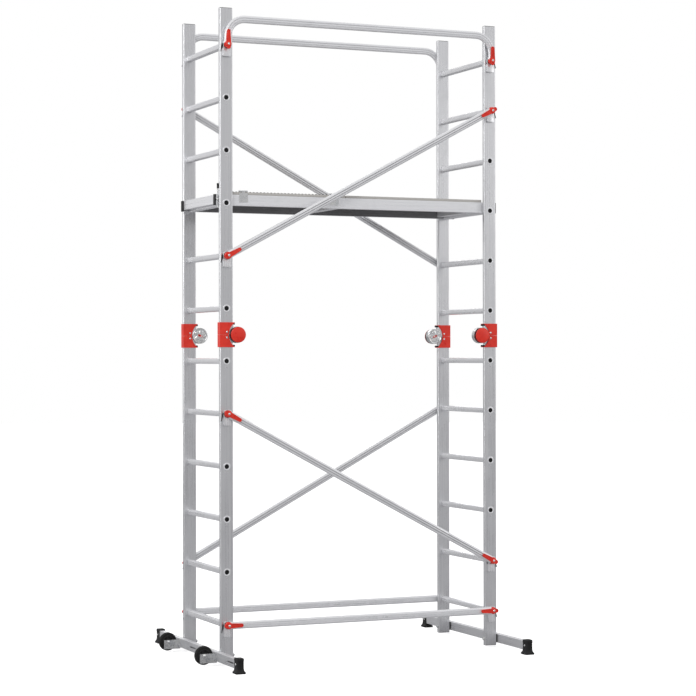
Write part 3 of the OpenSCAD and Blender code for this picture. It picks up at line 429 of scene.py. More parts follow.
MATERIALS = {
    "stile_tube": aluminium("stile_aluminium", "Z", 0.82, 0.30),
    "rung_tube": aluminium("rung_aluminium", "Y", 0.95, 0.28, 0.7),
    "bar_tube": aluminium("bar_aluminium", "Y", 0.86, 0.32, 0.85),
    "brace_tube": aluminium("brace_aluminium", "X", 0.98, 0.27, 0.35),
    "deck_rail_tube": aluminium("deck_rail_aluminium_shaded_inside", "X", 0.98, 0.30, 0.3, RAIL_SHADED_INSIDE),
    "hook_plate": aluminium("plate_aluminium", "Z", 0.94, 0.26, 0.7),
    "grey_plastic": black_plastic("grey_cap_plastic", 0.05, 0.6),
    "black_plastic": black_plastic("black_nylon", 0.012, 0.5),
    "black_rubber": rubber("foot_rubber", 0.013),
    "black_rubber_tyre": rubber("tyre_rubber", 0.009),
    "bright_steel": zinc_steel("bright_zinc_steel", 0.88, 0.22),
    "zinc_steel": zinc_steel("zinc_pressed_steel", 0.80, 0.27),
    "red_plastic": red_plastic("red_nylon"),
    "deck_ply": deck_plywood("film_faced_ply"),
}

# Materials that differ from the rest of their slot
# Painted shade: dark aluminium for strips laid along the groove bottoms of the braces and guard rails.
GROOVE_SHADE = aluminium("painted_groove_shade", "X", 0.42, 0.55, 0.4)
RAIL_GROOVE_SHADE = aluminium("painted_rail_groove_shade", "X", 0.72, 0.45, 0.4)
# Painted shade: a near-black, matt plug that stands for the dark mouth of each open rung end.
RUNG_MOUTH_SHADE = black_plastic("painted_rung_mouth_shade", 0.004, 0.8)
# Painted highlight: a whiter, less metallic copy of the rung aluminium for the rolled rings on the rung ends.
LIP_HIGHLIGHT_RING = aluminium("swaged_ring_painted_highlight", "Y", 0.98, 0.36, 0.2)
# The beams lie within the rails' inner sides, so they take a copy without the painted shade.
BEAM = aluminium("beam_aluminium", "Y", 0.97, 0.30, 0.4)


def made(bm, name, slot, matrix=None, body=ROOT, material=None, **more):
    """A piece in its slot's material, or in its own."""
    return finish_mesh(bm, name, matrix or Matrix.Identity(4), material or MATERIALS[slot], slot, body, **more)


def dress_cad_nodes():
    """Every carried-over CAD node takes the material of its slot, but the beams have their own."""
    for name, node in frame["nodes"].items():
        material = BEAM if name == "platform_beams" else MATERIALS[SLOTS[name]]
        for index in range(max(1, len(node.data.materials))):
            if node.data.materials:
                node.data.materials[index] = material
            else:
                node.data.materials.append(material)


# ---------- Stiles and rungs ----------

def ribbed_section():
    """A rung's section, with six small grooves in its top and its bottom."""
    half, rib, parts = RUNG_W / 2, 0.8 * MM, 12
    outline = rounded_rect(RUNG_W, RUNG_W, 5 * MM, 3)
    ribbed = []
    for a, b in zip(outline, outline[1:] + outline[:1]):
        ribbed.append(a)
        if abs(abs(a[1]) - half) < 1e-6 and abs(a[1] - b[1]) < 1e-6:
            for i in range(1, parts):
                depth = rib if i % 2 else 0
                t = i / parts
                ribbed.append((a[0] + (b[0] - a[0]) * t, a[1] - math.copysign(depth, a[1])))
    return ribbed


def build_rungs():
    """Square rungs with ribbed treads and a rolled flare at each stile."""
    sections = (ribbed_section(), rounded_rect(26 * MM, 26 * MM, 3 * MM, 3))
    flare = ((14.2, -1.2), (14.6, 0.3), (16.0, 1.0), (18.4, 0.8), (20.2, 0.0), (20.5, -0.8), (20.5, -1.6))
    end = RUNG_OUT - 1 * MM
    for side, word in SIDES.items():
        bm = bmesh.new()
        for number in range(1, RUNG_COUNT + 1):
            place = at(FRAME_X[side], 0, rung_z(number))
            for section in sections:
                add_loft(bm, [[(x, y, z) for x, z in section] for y in (-end, end)], place, capped=False)
            for face in FACES:
                rows = []
                for r, h in flare:
                    corner = min(r * MM, (r - 9.5) * 1.9 * MM)
                    shape = rounded_rect(2 * r * MM, 2 * r * MM, corner, 6)
                    rows.append([(x, face * (end + h * MM), z) for x, z in shape])
                add_loft(bm, rows, place, capped=False)
        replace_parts(made(bm, f"{word}_ribbed_rungs", "rung_tube"), f"{word}_rungs")


def build_rung_ends():
    """A near-black plug in each rung end that holds no clamp, which paints the shade of the open tube, and a rolled
    ring whose whiter finish paints the lip's highlight.
    """
    plugs, rings = bmesh.new(), bmesh.new()
    hooked = {(side, face, round(lever_place(face, level, side)[0].translation.z, 3)) for face, level, side in CLAMPS}
    plug = rounded_rect(25.6 * MM, 25.6 * MM, 3 * MM, 3)
    ring = in_mm(((12.8, -3.0), (12.8, 0.2), (13.2, 1.0), (14.2, 1.5), (16.5, 1.5), (19.0, 1.0), (20.2, 0.3)))
    for side, face in STILES:
        for number in range(1, RUNG_COUNT + 1):
            if (side, face, round(rung_z(number), 3)) not in hooked:
                spot = stile_frame(side, face, rung_z(number))
                add_plate(plugs, [plug], 3 * MM, 0.8 * MM, spot @ at(0, -4 * MM))
                add_lathe(rings, ring, spot, 36, capped=False)
    made(plugs, "rung_end_shade_plugs", "black_plastic", material=RUNG_MOUTH_SHADE, sharp=40)
    made(rings, "rung_end_rings", "rung_tube", material=LIP_HIGHLIGHT_RING, sharp=50)


def build_stile_details():
    """The dimple under each rung end, and the rivet below each stile's top."""
    bm = bmesh.new()
    dimple = in_mm(((4.2, -0.2), (3.6, 0.5), (2.2, 0.7), (0, 0.3)))
    for side, face in STILES:
        for number in range(1, RUNG_COUNT + 1):
            add_lathe(bm, dimple, stile_frame(side, face, rung_z(number) - 33 * MM), 16)
        edge = stile_frame(side, face, STILE_END - 42 * MM) @ at(-STILE_W / 2, -STILE_T / 2)
        add_lathe(bm, dome(4.5 * MM, 2.0 * MM, -0.2 * MM), edge @ turned(QUARTER, "Z"), 20)
    made(bm, "stile_dimples_and_rivets", "bright_steel")


def build_stile_caps():
    """Arched plastic caps over the stile ends."""
    bm = bmesh.new()
    low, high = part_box("stile_caps")
    rise = high.z - STILE_END
    for side, face in STILES:
        for edge, up in ((STILE_END, 1), (low.z + rise, -1)):
            place = at(FRAME_X[side], face * (STILE_OUT - STILE_T / 2), edge)
            rows = []
            for inset, height in ((0, 0), (0, 0.30), (0.6, 0.62), (2.2, 0.86), (5.0, 1.0)):
                ring = []
                for x, y in rounded_rect(STILE_W - inset * MM, STILE_T - inset * MM, (7 - inset / 2) * MM, 5):
                    arch = 1 - 0.8 * (2 * x / STILE_W) ** 2
                    ring.append((x, y, up * rise * height * arch))
                rows.append(ring)
            add_loft(bm, rows, place)
    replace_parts(made(bm, "arched_stile_caps", "grey_plastic", sharp=50), "stile_caps")


# ---------- Base ----------

def build_feet():
    """Rubber feet with a flared sole, upright ribs at the outer end and bars underneath."""
    low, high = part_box("base_feet")
    sole_x, sole_y, body_end = 54 * MM, 64 * MM, 24 * MM
    top = high.z / MM
    levels = ((2, 0), (0, 2), (0, 8), (2.5, 10), (8, 13), (12.5, 18), (15.2, 26), (16, 36),
              (16, top - 16), (14.4, top - 15), (14.4, top - 4), (15.6, top - 1.5), (18.4, top))
    rib = rounded_rect(5 * MM, high.z * 0.45, 2.4 * MM)
    bar = rounded_rect(sole_x - 4 * MM, 7 * MM, 1 * MM)
    for side, face in STILES:
        bm = bmesh.new()
        x = low.x + sole_x / 2 if side == LEFT else high.x - sole_x / 2
        place = at(x, face * (high.y - sole_y / 2))
        rows = []
        for inset, z in levels:
            ring = rounded_rect(sole_x - inset * MM, sole_y - inset * MM, 6 * MM, 4)
            rows.append([(px, py, z * MM) for px, py in ring])
        add_loft(bm, rows, place)
        for rib_x in (-11, 0, 11):
            spot = at(rib_x * MM, face * body_end, high.z / 2 + 4 * MM)
            add_plate(bm, [rib], 2.2 * MM, 0.8 * MM, place @ spot)
        for number in range(4):
            spot = at(0, (number - 1.5) * 15 * MM, 1.2 * MM) @ turned(QUARTER, "X")
            add_plate(bm, [bar], 2.2 * MM, 0.3 * MM, place @ spot)
        piece = made(bm, f"rubber_foot_{FACES[face]}_{SIDES[side]}", "black_rubber", sharp=40)
        if (side, face) == (LEFT, FRONT):
            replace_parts(piece, "base_feet")


def build_wheels():
    """Tyres with a rounded tread and side rings, on ribbed hubs."""
    tyre = mirrored([(33.3, 11.5), (34.2, 12.6), (36.5, 13), (38, 11.8), (39.5, 12.8), (43, 13), (46.2, 11.6),
                     (48.6, 9.2), (49.7, 6.5), (49.9, 5.2), (48.9, 4.6), (48.9, 3.6), (50, 3.0)])
    hub = mirrored([(5.2, 15.5), (10, 15.5), (12, 14.8), (12.5, 4), (14, 2.4), (27, 2.0), (28.5, 3.5), (29, 11.8),
                    (31, 12.6), (33, 11.8)])
    spoke = rounded_rect(18 * MM, 3 * MM, 1.2 * MM, 2)
    for word in FACES.values():
        body = f"{word}_wheel"
        place = Matrix.Translation(Vector(JOINTS[f"{word}_wheel_spin"]["pos_m"]))
        bm = bmesh.new()
        add_lathe(bm, tyre + tyre[:1], place, 72, capped=False)
        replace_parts(made(bm, f"{word}_tyre", "black_rubber_tyre", body=body, sharp=50), f"{word}_wheel_tyre")
        bm = bmesh.new()
        add_lathe(bm, hub + hub[:1], place, 60, capped=False)
        for i in range(6):
            turn = turned(2 * math.pi * i / 6, "Y")
            add_plate(bm, [spoke], 20 * MM, 0.8 * MM, place @ turn @ at(20.5 * MM))
        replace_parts(made(bm, f"{word}_ribbed_hub", "black_plastic", body=body, sharp=40), f"{word}_wheel_hub")


# ---------- Braces and guard rails ----------

def tube_outline():
    """The flat-sided oval, width along the first axis, with two grooves in each flat side."""
    flat = (TUBE_W - TUBE_T) / 2
    radius = TUBE_T / 2
    points = []
    for i in range(11):
        angle = -math.pi / 2 + math.pi * i / 10
        points.append((flat + radius * math.cos(angle), radius * math.sin(angle)))
    for x in (GROOVE_X, -GROOVE_X):
        points += [(x + GROOVE_HALF, radius), (x + GROOVE_HALF * 0.7, radius - GROOVE_DEPTH),
                   (x - GROOVE_HALF * 0.7, radius - GROOVE_DEPTH), (x - GROOVE_HALF, radius)]
    return points + [(-x, -y) for x, y in points]


def add_sweep(bm, outline, centres, widths):
    """Sweeps outline along centres in the XZ plane. widths are unit vectors of its long side."""
    rows = []
    for centre, wide in zip(centres, widths):
        rows.append([centre + wide * w + Vector((0, t, 0)) for w, t in outline])
    add_loft(bm, rows)


def make_tube(name, centres, widths, groove_shade, matrix=None, **more):
    """A grooved tube. groove_shade is the material of the dark strips along the bottoms of its grooves, which are
    painted shade, or None.
    """
    bm = bmesh.new()
    add_sweep(bm, tube_outline(), centres, widths)
    piece = made(bm, name, "brace_tube", matrix, sharp=40, **more)
    # The strips are painted shade, a dark sheet near each groove's bottom.
    if groove_shade:
        half = GROOVE_HALF - 0.3 * MM
        high = TUBE_T / 2 - GROOVE_DEPTH + 0.5 * MM
        low = high - 1 * MM
        shade_strips = bmesh.new()
        for x in (-GROOVE_X, GROOVE_X):
            for side in (-1, 1):
                ring = ((x - half, high), (x + half, high), (x + half, low), (x - half, low))
                add_sweep(shade_strips, [(w, side * t) for w, t in ring], centres, widths)
        made(shade_strips, f"{name}_groove_shade", "brace_tube", matrix, material=groove_shade, **more)
    return piece


def build_braces():
    """Straight tubes between the tube ends of two clamps. The base braces get no painted groove shade."""
    start = 10 * MM
    for face, word in FACES.items():
        for level in ("upper", "lower", "base"):
            place, slope = lever_place(face, level, LEFT)
            left = place.translation
            right = lever_place(face, level, RIGHT)[0].translation
            half = (right - left).length / 2 - start
            centres = [Vector((-half, 0, 0)), Vector((half, 0, 0))]
            between = (left + right) / 2
            matrix = at(between.x, face * TUBE_Y, between.z) @ turned(-slope, "Y")
            groove_shade = None if level == "base" else GROOVE_SHADE
            widths = [Vector((0, 0, 1))] * 2
            piece = make_tube(f"{word}_{level}_brace", centres, widths, groove_shade, matrix, bake_matrix=False)
            if level == "upper":
                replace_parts(piece, f"{word}_braces")
            elif level == "base" and face == FRONT:
                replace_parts(piece, "base_braces")


def build_guard_rails():
    """An upright leg at each clamp, a bend, and the hand rail between."""
    low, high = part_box("guard_rails")
    bend = 98 * MM
    top = high.z - TUBE_W / 2
    left_x, right_x = low.x + TUBE_W / 2, high.x - TUBE_W / 2
    for face, word in FACES.items():
        y = face * TUBE_Y
        leg_end = lever_place(face, "rail", LEFT)[0].translation.z + 6 * MM
        centres = [Vector((left_x, y, leg_end))]
        widths = [Vector((-1, 0, 0))]
        for first, x in ((math.pi, left_x + bend), (math.pi / 2, right_x - bend)):
            for i in range(13):
                angle = first - math.pi / 2 * i / 12
                out = Vector((math.cos(angle), 0, math.sin(angle)))
                centres.append(Vector((x, y, top - bend)) + out * bend)
                widths.append(out)
        centres.append(Vector((right_x, y, leg_end)))
        widths.append(Vector((1, 0, 0)))
        piece = make_tube(f"{word}_guard_rail", centres, widths, RAIL_GROOVE_SHADE)
        if face == FRONT:
            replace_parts(piece, "guard_rails")


# ---------- Clamps ----------

def lever_outline(shrink=0.0):
    """A lever seen from the front: round at its pin, with a round tail and a narrower round tip."""
    discs = ((-15.4, 11.6 - shrink), (0, 14.5 - shrink), (68.1, 9.8 - shrink))
    low = discs[0][0] - discs[0][1]
    high = discs[2][0] + discs[2][1]
    steps = 40
    upper = []
    for i in range(1, steps):
        x = low + (high - low) * (1 - math.cos(math.pi * i / steps)) / 2
        half = 0.4
        for cx, r in discs:
            if abs(x - cx) < r:
                half = max(half, math.sqrt(r * r - (x - cx) ** 2))
        for (ax, ar), (bx, br) in zip(discs, discs[1:]):
            if ax < x < bx:
                t = (x - ax) / (bx - ax)
                half = max(half, (ar + (br - ar) * t) * 0.97)
        upper.append((x, half))
    return in_mm([(low, 0)] + upper + [(high, 0)] + [(x, -h) for x, h in reversed(upper)])


def build_levers():
    """Each lever: a dished arm with a raised rim, round a boss for its pin."""
    low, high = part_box("lever_front_rail_left")
    thick = high.y - low.y
    floor_t = thick * 0.58
    hole = circle(4.2 * MM, 20)
    for face, level, side in CLAMPS:
        name = f"lever_{FACES[face]}_{level}_{SIDES[side]}"
        place, slope = lever_place(face, level, side)
        out = abs(middle(name).y) - STILE_OUT - thick / 2
        matrix = place @ turned(-slope, "Y") @ at(0, out)
        bm = bmesh.new()
        add_plate(bm, [lever_outline(), hole], floor_t, 1.2 * MM, at(0, floor_t / 2))
        add_plate(bm, [lever_outline(), lever_outline(3.6)], thick, 1.4 * MM, at(0, thick / 2))
        add_plate(bm, [circle(12.2 * MM, 36), hole], thick, 1.0 * MM, at(0, thick / 2))
        for rib_z in (-3 * MM, 3 * MM):
            rib = rounded_rect(46 * MM, 1.6 * MM, 0.7 * MM, 2, 36 * MM, rib_z)
            add_plate(bm, [rib], thick * 0.8, 0.4 * MM, at(0, thick * 0.4))
        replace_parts(made(bm, f"{name}_dished", "red_plastic", matrix, body=name, sharp=38), name)


def build_clamp_parts():
    """Round tube ends with a black collar behind each, and the flanged plates that stand off the stiles."""
    knuckles, plates, collars = bmesh.new(), bmesh.new(), bmesh.new()
    knuckle = in_mm(((0, 10.5), (17.6, 10.5), (18.6, 11.1), (19, 12.3), (19, 18.7), (18.1, 19.5), (18.1, 23.5),
                     (19, 24.3), (19, 30.7), (18.6, 31.9), (17.4, 32.5), (13.5, 32.5), (12.6, 31.5), (0, 31.5)))
    collar = in_mm(((0, 10.6), (19.4, 10.6), (19.9, 11.2), (19.9, 15.6), (19.4, 16.2), (0, 16.2)))
    neck = rounded_rect(14 * MM, 30 * MM, 5 * MM, 4)
    sheet = rounded_rect(42 * MM, 84 * MM, 6 * MM, 4, 0, -22 * MM)
    flange = rounded_rect(7.6 * MM, 40 * MM, 1.4 * MM, 3, 4.2 * MM, -40 * MM)
    for face, level, side in CLAMPS:
        place, slope = lever_place(face, level, side)
        turn = place @ turned(-slope, "Y")
        add_lathe(knuckles, knuckle, turn, 44)
        add_lathe(collars, collar, turn, 44)
        add_loft(knuckles, [[(x * MM, TUBE_Y - STILE_OUT + t, w) for t, w in neck] for x in (2, 16)], turn)
        add_plate(plates, [sheet, circle(6 * MM, 20)], 2.4 * MM, 0.7 * MM, place @ at(0, 9.25 * MM))
        for edge in (-19.8 * MM, 19.8 * MM):
            add_plate(plates, [flange], 2.2 * MM, 0.6 * MM, place @ at(edge) @ turned(QUARTER, "Z"))
    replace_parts(made(knuckles, "ringed_tube_ends", "red_plastic", sharp=40), "clamp_knuckles")
    made(collars, "clamp_collars", "black_plastic", sharp=40)
    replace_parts(made(plates, "flanged_clamp_plates", "hook_plate", sharp=40), "clamp_plates")


# ---------- Hinges ----------

def build_hinge_discs():
    """A pressed star and a rolled rim on each inner cheek, with a red lock tell-tale and a rivet."""
    discs, tells, rivets, pits = (bmesh.new() for _ in range(4))
    inner_y, lobes, steps = -28.0, 5, 120
    radii = (11.5, 13, 15, 17, 19, 21, 23, 25, 27, 29, 31, 33, 34.5, 36, 37, 38.2, 40, 42, 43.4, 43.8, 43.8)
    lozenge = []
    for i in range(28):
        a = 2 * math.pi * i / 28
        lozenge.append((14 * MM * math.cos(a), 8 * MM * math.sin(a) * (1 + 0.25 * math.cos(2 * a))))
    tilt = turned(math.radians(24), "Y")
    flip = Matrix.Diagonal((1, -1, 1, 1))
    for side, face in STILES:
        place = stile_frame(side, face, HINGE_Z, HINGE_IN)
        rings = []
        for r in radii:
            ring = []
            for i in range(steps):
                a = 2 * math.pi * i / steps
                lobe = 20 + 13 * abs(math.cos(lobes * a / 2)) ** 1.6
                star = 2.6 / (1 + math.exp((r - lobe) * 1.3))
                rim = 2.8 * math.exp(-((r - 40) / 3.0) ** 4)
                height = 0.25 + max(star, rim)
                ring.append((r * MM * math.cos(a), (inner_y - height) * MM, r * MM * math.sin(a)))
            rings.append(ring)
        rings[-1] = [(x, inner_y * MM, z) for x, _, z in rings[-1]]
        add_loft(discs, rings, place, capped=False)
        add_plate(tells, [lozenge], 3.0 * MM, 0.8 * MM, place @ at(0, (inner_y - 4.0) * MM) @ tilt)
        front = place @ at(0, (inner_y - 5.5) * MM) @ tilt
        add_lathe(rivets, dome(4.6 * MM, 2.4 * MM, -0.5 * MM), front @ at(6.5 * MM) @ flip, 24)
        add_lathe(pits, dome(4.2 * MM, 0.8 * MM, -0.5 * MM), front @ at(-6.5 * MM) @ flip, 24)
        for x, z in LOCK_PINS:
            add_lathe(rivets, dome(4.4 * MM, 2.6 * MM), place @ at(x, inner_y * MM, z) @ flip, 24)
    made(discs, "pressed_star_discs", "bright_steel", sharp=60)
    made(tells, "lock_tell_tales", "red_plastic", sharp=40)
    made(pits, "tell_tale_windows", "black_plastic", sharp=50)
    made(rivets, "hinge_disc_rivets", "bright_steel", sharp=50)


def build_cover_details():
    """Rubber stops on the tips of the covers, and the plug in the middle of each."""
    stops, plugs = bmesh.new(), bmesh.new()
    rod = mirrored([(0, 19.1), (3.0, 18.8), (4.4, 17.8), (4.8, 16.4), (4.8, 9.5), (4.2, 8.7), (4.2, 7.7), (4.8, 6.9)])
    plug = in_mm(((5.2, -0.5), (5.2, 0.1), (4.4, 0.5), (3.6, -0.1), (0, -0.2)))
    for side, face in STILES:
        place = stile_frame(side, face, HINGE_Z)
        for z in (-58 * MM, 58 * MM):
            add_lathe(stops, rod, place @ at(41 * MM, -12.5 * MM, z), 24)
        add_lathe(plugs, plug, place @ at(0, 6.7 * MM), 24)
    made(stops, "cover_tip_stops", "black_rubber", sharp=50)
    made(plugs, "cover_plugs", "red_plastic", sharp=40)


def build_knobs():
    """Domed knobs with a rolled edge and a black ribbed band round their side wall that paints its shade, their steel
    lock pins, and a coil spring behind each.
    """
    # The ribbed black band below is painted shade on the knob's side wall.
    grip = in_mm(((40.4, 10.2), (41.6, 10.2), (42, 10.8), (42, 11.8), (41.4, 12.4), (41.4, 13.4), (42, 14.0),
                  (42, 15.0), (41.4, 15.6), (41.4, 16.6), (42, 17.2), (42, 18.0), (41.4, 18.5), (40.4, 18.5),
                  (40.4, 10.2)))
    shell = in_mm(((0, 20.6), (38.6, 20.6), (39.2, 19.8), (39.4, 10.6), (40.2, 10.0), (40.6, 10.0), (40.8, 10.8),
                   (40.8, 18.0), (41.2, 18.2), (42, 18.6), (42, 21.8), (41.4, 23.0), (39.8, 23.8), (37.5, 24.6),
                   (33, 25.5), (27, 26.4), (20, 27.2), (12, 27.8), (0, 28)))
    boss = in_mm(((11.0, 20.8), (11.0, 10.8), (10.4, 10.2), (7.4, 10.2), (7.2, 10.8), (7.2, 20.8)))
    shaft = in_mm(((0, -14), (3.3, -14), (4.5, -12.6), (4.5, 2.6), (4.0, 3.2), (2.5, 3.4), (2.5, 20.7), (0, 20.7)))
    for side, face in STILES:
        body = f"knob_{FACES[face]}_{SIDES[side]}"
        place = stile_frame(side, face, HINGE_Z, HINGE_IN)
        # Painted shade: the black band stands for the shaded side wall of the knob.
        shade_band = bmesh.new()
        add_lathe(shade_band, grip, place, 96, capped=False)
        made(shade_band, f"{body}_painted_shade_band", "black_rubber", body=body, sharp=40)
        bm = bmesh.new()
        add_lathe(bm, shell, place, 96)
        add_lathe(bm, boss, place, 40, capped=False)
        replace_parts(made(bm, f"{body}_domed", "red_plastic", body=body, sharp=40), body)
        pins = bmesh.new()
        for x, z in LOCK_PINS:
            add_lathe(pins, shaft, place @ at(x, 0, z), 28)
        made(pins, f"{body}_lock_pins", "bright_steel", body=body, sharp=40)
        build_spring(side, face, body, place)


def build_spring(side, face, body, place):
    """A coil with closed ends, on a mesh of its own, built at rest; the real coil is squashed as its knob is pushed
    in.
    """
    bottom, top, radius, wire, turns = 3.2 * MM, 20.4 * MM, 16.8 * MM, 1.1 * MM, 4
    steps, closed = turns * 28, 0.06
    rows = []
    for i in range(steps + 1):
        a = 2 * math.pi * turns * i / steps
        rise = min(max((i / steps - closed) / (1 - 2 * closed), 0), 1)
        height = bottom + wire + (top - bottom - 2 * wire) * rise
        out = Vector((math.cos(a), 0, math.sin(a)))
        centre = out * radius + Vector((0, height, 0))
        rows.append([centre + out * (wire * math.cos(b)) + Vector((0, wire * math.sin(b), 0))
                     for b in (2 * math.pi * k / 8 for k in range(8))])
    bm = bmesh.new()
    add_loft(bm, rows, place)
    piece = made(bm, f"{body}_coil_spring", "bright_steel", sharp=60)
    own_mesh(piece)
    if (side, face) == (LEFT, FRONT):
        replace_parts(piece, "hinge_springs")


# ---------- Platform ----------

GRIP_IN = 70 * MM


def build_deck():
    """Anti-slip boards with rounded edges and screws, and a slot for the hand in the trapdoor."""
    for node, body in (("deck_board", ROOT), ("hatch_lid", "hatch")):
        low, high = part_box(node)
        centre = middle(node)
        size = high - low
        outlines = [rounded_rect(size.x, size.y, 6 * MM, 4)]
        if node == "hatch_lid":
            outlines.append(rounded_rect(32 * MM, 104 * MM, 15.9 * MM, 8, size.x / 2 - GRIP_IN))
        bm = bmesh.new()
        add_plate(bm, outlines, size.z, 1.1 * MM, Matrix.Translation(centre) @ turned(QUARTER, "X"))
        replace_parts(made(bm, f"{node}_ply", "deck_ply", body=body, sharp=30), node)
        screws = bmesh.new()
        for sx in (-1, -0.34, 0.34, 1):
            for sy in (-1, 1):
                spot = at(centre.x + sx * (size.x / 2 - 28 * MM), sy * (size.y / 2 - 13 * MM), high.z)
                add_lathe(screws, dome(4.8 * MM, 1.4 * MM, -0.4 * MM, 0.2), spot @ turned(QUARTER, "X"), 20)
        made(screws, f"{node}_screws", "bright_steel", body=body, sharp=50)


def build_hatch_details():
    """The lining of the trapdoor's slot, and the studs along its front edge, clear of the hinge leaves."""
    low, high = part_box("hatch_lid")
    size = high - low
    seat = at(high.x - GRIP_IN) @ turned(QUARTER, "X")
    opening = rounded_rect(24 * MM, 96 * MM, 11.9 * MM, 8)
    grip = bmesh.new()
    lip = [rounded_rect(44 * MM, 116 * MM, 21.9 * MM, 8), opening]
    add_plate(grip, lip, 1.8 * MM, 0.6 * MM, at(0, 0, high.z + 0.5 * MM) @ seat)
    wall = [rounded_rect(31.6 * MM, 103.6 * MM, 15.7 * MM, 8), opening]
    add_plate(grip, wall, size.z - 0.6 * MM, 0.5 * MM, at(0, 0, middle("hatch_lid").z) @ seat)
    made(grip, "hatch_finger_grip", "black_plastic", body="hatch", sharp=40)
    leaf_low, leaf_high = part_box("hatch_leaves")
    leaves = (leaf_low.x + 25 * MM, leaf_high.x - 25 * MM)
    studs = bmesh.new()
    count = int(size.x / (20 * MM))
    for i in range(count):
        x = low.x + (i + 0.5) * size.x / count
        if min(abs(x - leaf) for leaf in leaves) > 34 * MM:
            spot = at(x, low.y + 8 * MM, high.z) @ turned(QUARTER, "X")
            add_lathe(studs, dome(5.6 * MM, 3.4 * MM, -0.4 * MM, 0.4), spot, 18)
    made(studs, "hatch_edge_studs", "black_rubber", body="hatch", sharp=50)


def build_wind_lock():
    """A flat lock bar with a hooked toe, a round eye and a black grip."""
    low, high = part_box("wind_lock")
    pivot = Vector(JOINTS["wind_lock_pivot"]["pos_m"])
    thick = high.y - low.y
    place = at(pivot.x, (low.y + high.y) / 2, pivot.z)
    half = 4.5 * MM
    foot = low.z - pivot.z
    head = high.z - pivot.z
    reach = high.x - pivot.x
    toe = foot + 2 * half
    bar = [(-half, foot), (reach - 3 * MM, foot), (reach, foot + 3 * MM), (reach, toe - 2 * MM), (reach - 2 * MM, toe),
           (half + 4 * MM, toe), (half, toe + 4 * MM), (half, head - 6 * MM), (-half, head - 6 * MM)]
    bm = bmesh.new()
    for outline in (bar, circle(8 * MM, 28)):
        add_plate(bm, [outline], thick, 0.8 * MM, place)
    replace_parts(made(bm, "wind_lock_bar", "zinc_steel", body="wind_lock", sharp=40), "wind_lock")
    grip_length = 28 * MM
    rows = []
    for z, w, t in ((0, 9.5, 3.6), (1, 11, 5.2), (6, 11.6, 6.0), (9, 10.6, 5.4), (12, 11.6, 6.0), (15, 10.6, 5.4),
                    (18, 11.6, 6.0), (24, 11.8, 6.0), (27, 10.5, 5.2), (28, 7, 3.6)):
        ring = rounded_rect(w * MM, t * MM, min(w, t) * 0.45 * MM, 4)
        rows.append([(x, y - (t - 3) / 2 * MM, head - grip_length + z * MM) for x, y in ring])
    grip = bmesh.new()
    add_loft(grip, rows, place)
    made(grip, "wind_lock_grip", "black_plastic", body="wind_lock", sharp=50)


# ---------- Stage, light and camera ----------

def build_stage():
    """A pale floor. It is white to the camera, and reflects as a mid grey on the object's undersides."""
    bm = bmesh.new()
    add_loft(bm, [[(x, y, z) for x, y in circle(40, 64)] for z in (-0.05, 0.0)])
    mesh = bpy.data.meshes.new("floor")
    bm.to_mesh(mesh)
    bm.free()
    n = Nodes("pale_floor", Roughness=0.9, Specular_IOR_Level=0.1, Emission_Color=(1, 1, 1, 1), Emission_Strength=0.62)
    tone = n.spread(n.noise(0.7, 2.0, 0.5), 0, 1)
    n.set(Base_Color=n.mixed(tone, (0.86, 0.86, 0.86), tint(0.86, 0.985, 0.985, 0.985)))
    grey = n.add("ShaderNodeBsdfDiffuse", {"Color": (0.42, 0.42, 0.43, 1)}).outputs["BSDF"]
    seen = n.add("ShaderNodeLightPath").outputs["Is Camera Ray"]
    mix = n.add("ShaderNodeMixShader", {"Fac": seen, 1: grey, 2: n.shader.outputs["BSDF"]})
    n.tree.links.new(mix.outputs["Shader"], n.tree.nodes["Material Output"].inputs["Surface"])
    mesh.materials.append(n.material)
    link_new("floor", mesh)


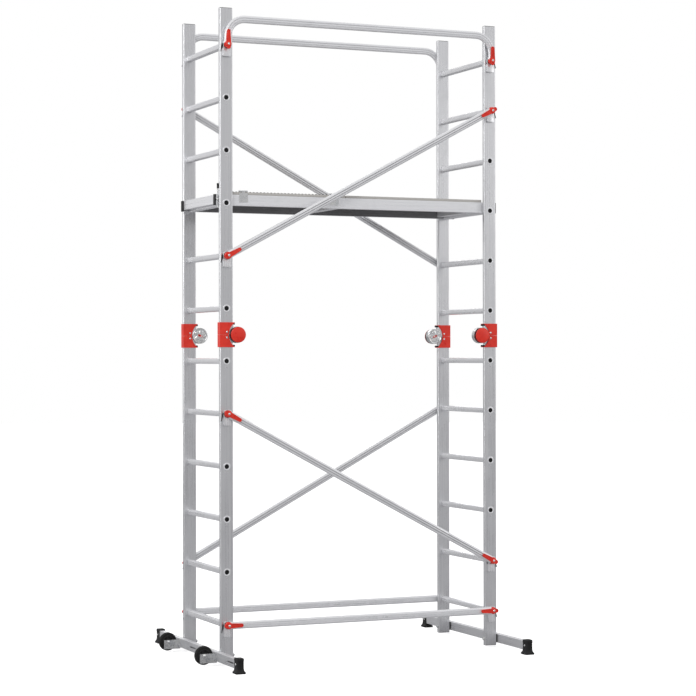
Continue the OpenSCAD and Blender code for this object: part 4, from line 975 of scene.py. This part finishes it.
def build_light():
    """Four soft lamps in a world that is white to the camera and darker towards the ground elsewhere."""
    world = bpy.data.worlds.new("studio")
    bpy.context.scene.world = world
    world.use_nodes = True
    tree = world.node_tree
    tree.nodes.clear()
    place = add_node(tree, "ShaderNodeTexCoord").outputs["Generated"]
    height = add_node(tree, "ShaderNodeSeparateXYZ", {0: place}).outputs["Z"]
    height = add_node(tree, "ShaderNodeMapRange", {"Value": height, "From Min": -1}).outputs["Result"]
    ramp = add_node(tree, "ShaderNodeValToRGB", {"Fac": height})
    for position, tone in ((0.0, 0.28), (0.45, 0.45), (0.54, 0.80), (0.75, 1.0), (1.0, 1.15)):
        element = ramp.color_ramp.elements[0] if position == 0 else ramp.color_ramp.elements.new(position)
        element.position = position
        element.color = (tone, tone, tone * 1.015, 1)
    soft = add_node(tree, "ShaderNodeBackground", {"Color": ramp.outputs["Color"], "Strength": 0.74})
    white = add_node(tree, "ShaderNodeBackground", {"Color": (1, 1, 1, 1), "Strength": 1.0})
    seen = add_node(tree, "ShaderNodeLightPath").outputs["Is Camera Ray"]
    mix = add_node(tree, "ShaderNodeMixShader", {"Fac": seen, 1: soft.outputs[0], 2: white.outputs[0]})
    add_node(tree, "ShaderNodeOutputWorld", {"Surface": mix.outputs["Shader"]})
    add_area("key_light", (-4.5, -5.0, 5.2), (0, 0, 1.7), 3.6, 100)
    add_area("left_strip", (-6.0, 1.2, 2.4), (0, 0, 1.9), 3.0, 70)
    add_area("right_fill", (5.5, -4.5, 3.2), (0, 0, 1.8), 3.4, 30)
    add_area("back_light", (1.5, 6.0, 4.6), (0, 0, 1.8), 3.2, 45)


def add_area(name, place, target, size, power):
    """A round lamp, aimed at target."""
    light = bpy.data.lights.new(name, "AREA")
    light.shape = "DISK"
    light.size = size
    light.energy = power
    lamp = link_new(name, light)
    lamp.location = place
    aim = Vector(target) - Vector(place)
    lamp.rotation_euler = aim.to_track_quat("-Z", "Y").to_euler()


def build_camera():
    """The photograph's view: near eye level, turned to the tower's wheel end, with a long lens."""
    yaw, pitch, roll = math.radians(23.703), math.radians(0.263), math.radians(-0.107)
    ahead = Vector((math.sin(yaw) * math.cos(pitch), math.cos(yaw) * math.cos(pitch), math.sin(pitch)))
    across = Vector((math.cos(yaw), -math.sin(yaw), 0))
    up = across.cross(ahead)
    right = across * math.cos(roll) + up * math.sin(roll)
    top = up * math.cos(roll) - across * math.sin(roll)
    data = bpy.data.cameras.new("camera")
    data.lens = 106.7
    data.sensor_width = 36
    data.clip_end = 100
    camera = link_new("camera", data)
    turn = Matrix((right, top, -ahead)).transposed().to_4x4()
    camera.matrix_world = at(-4.5445, -10.585, 1.626) @ turn
    bpy.context.scene.camera = camera


build_camera()
build_stage()
build_light()
bpy.context.scene.view_settings.view_transform = "Standard"
dress_cad_nodes()
build_rungs()
build_rung_ends()
build_stile_details()
build_stile_caps()
build_feet()
build_wheels()
build_braces()
build_guard_rails()
build_levers()
build_clamp_parts()
build_hinge_discs()
build_cover_details()
build_knobs()
build_deck()
build_hatch_details()
build_wind_lock()
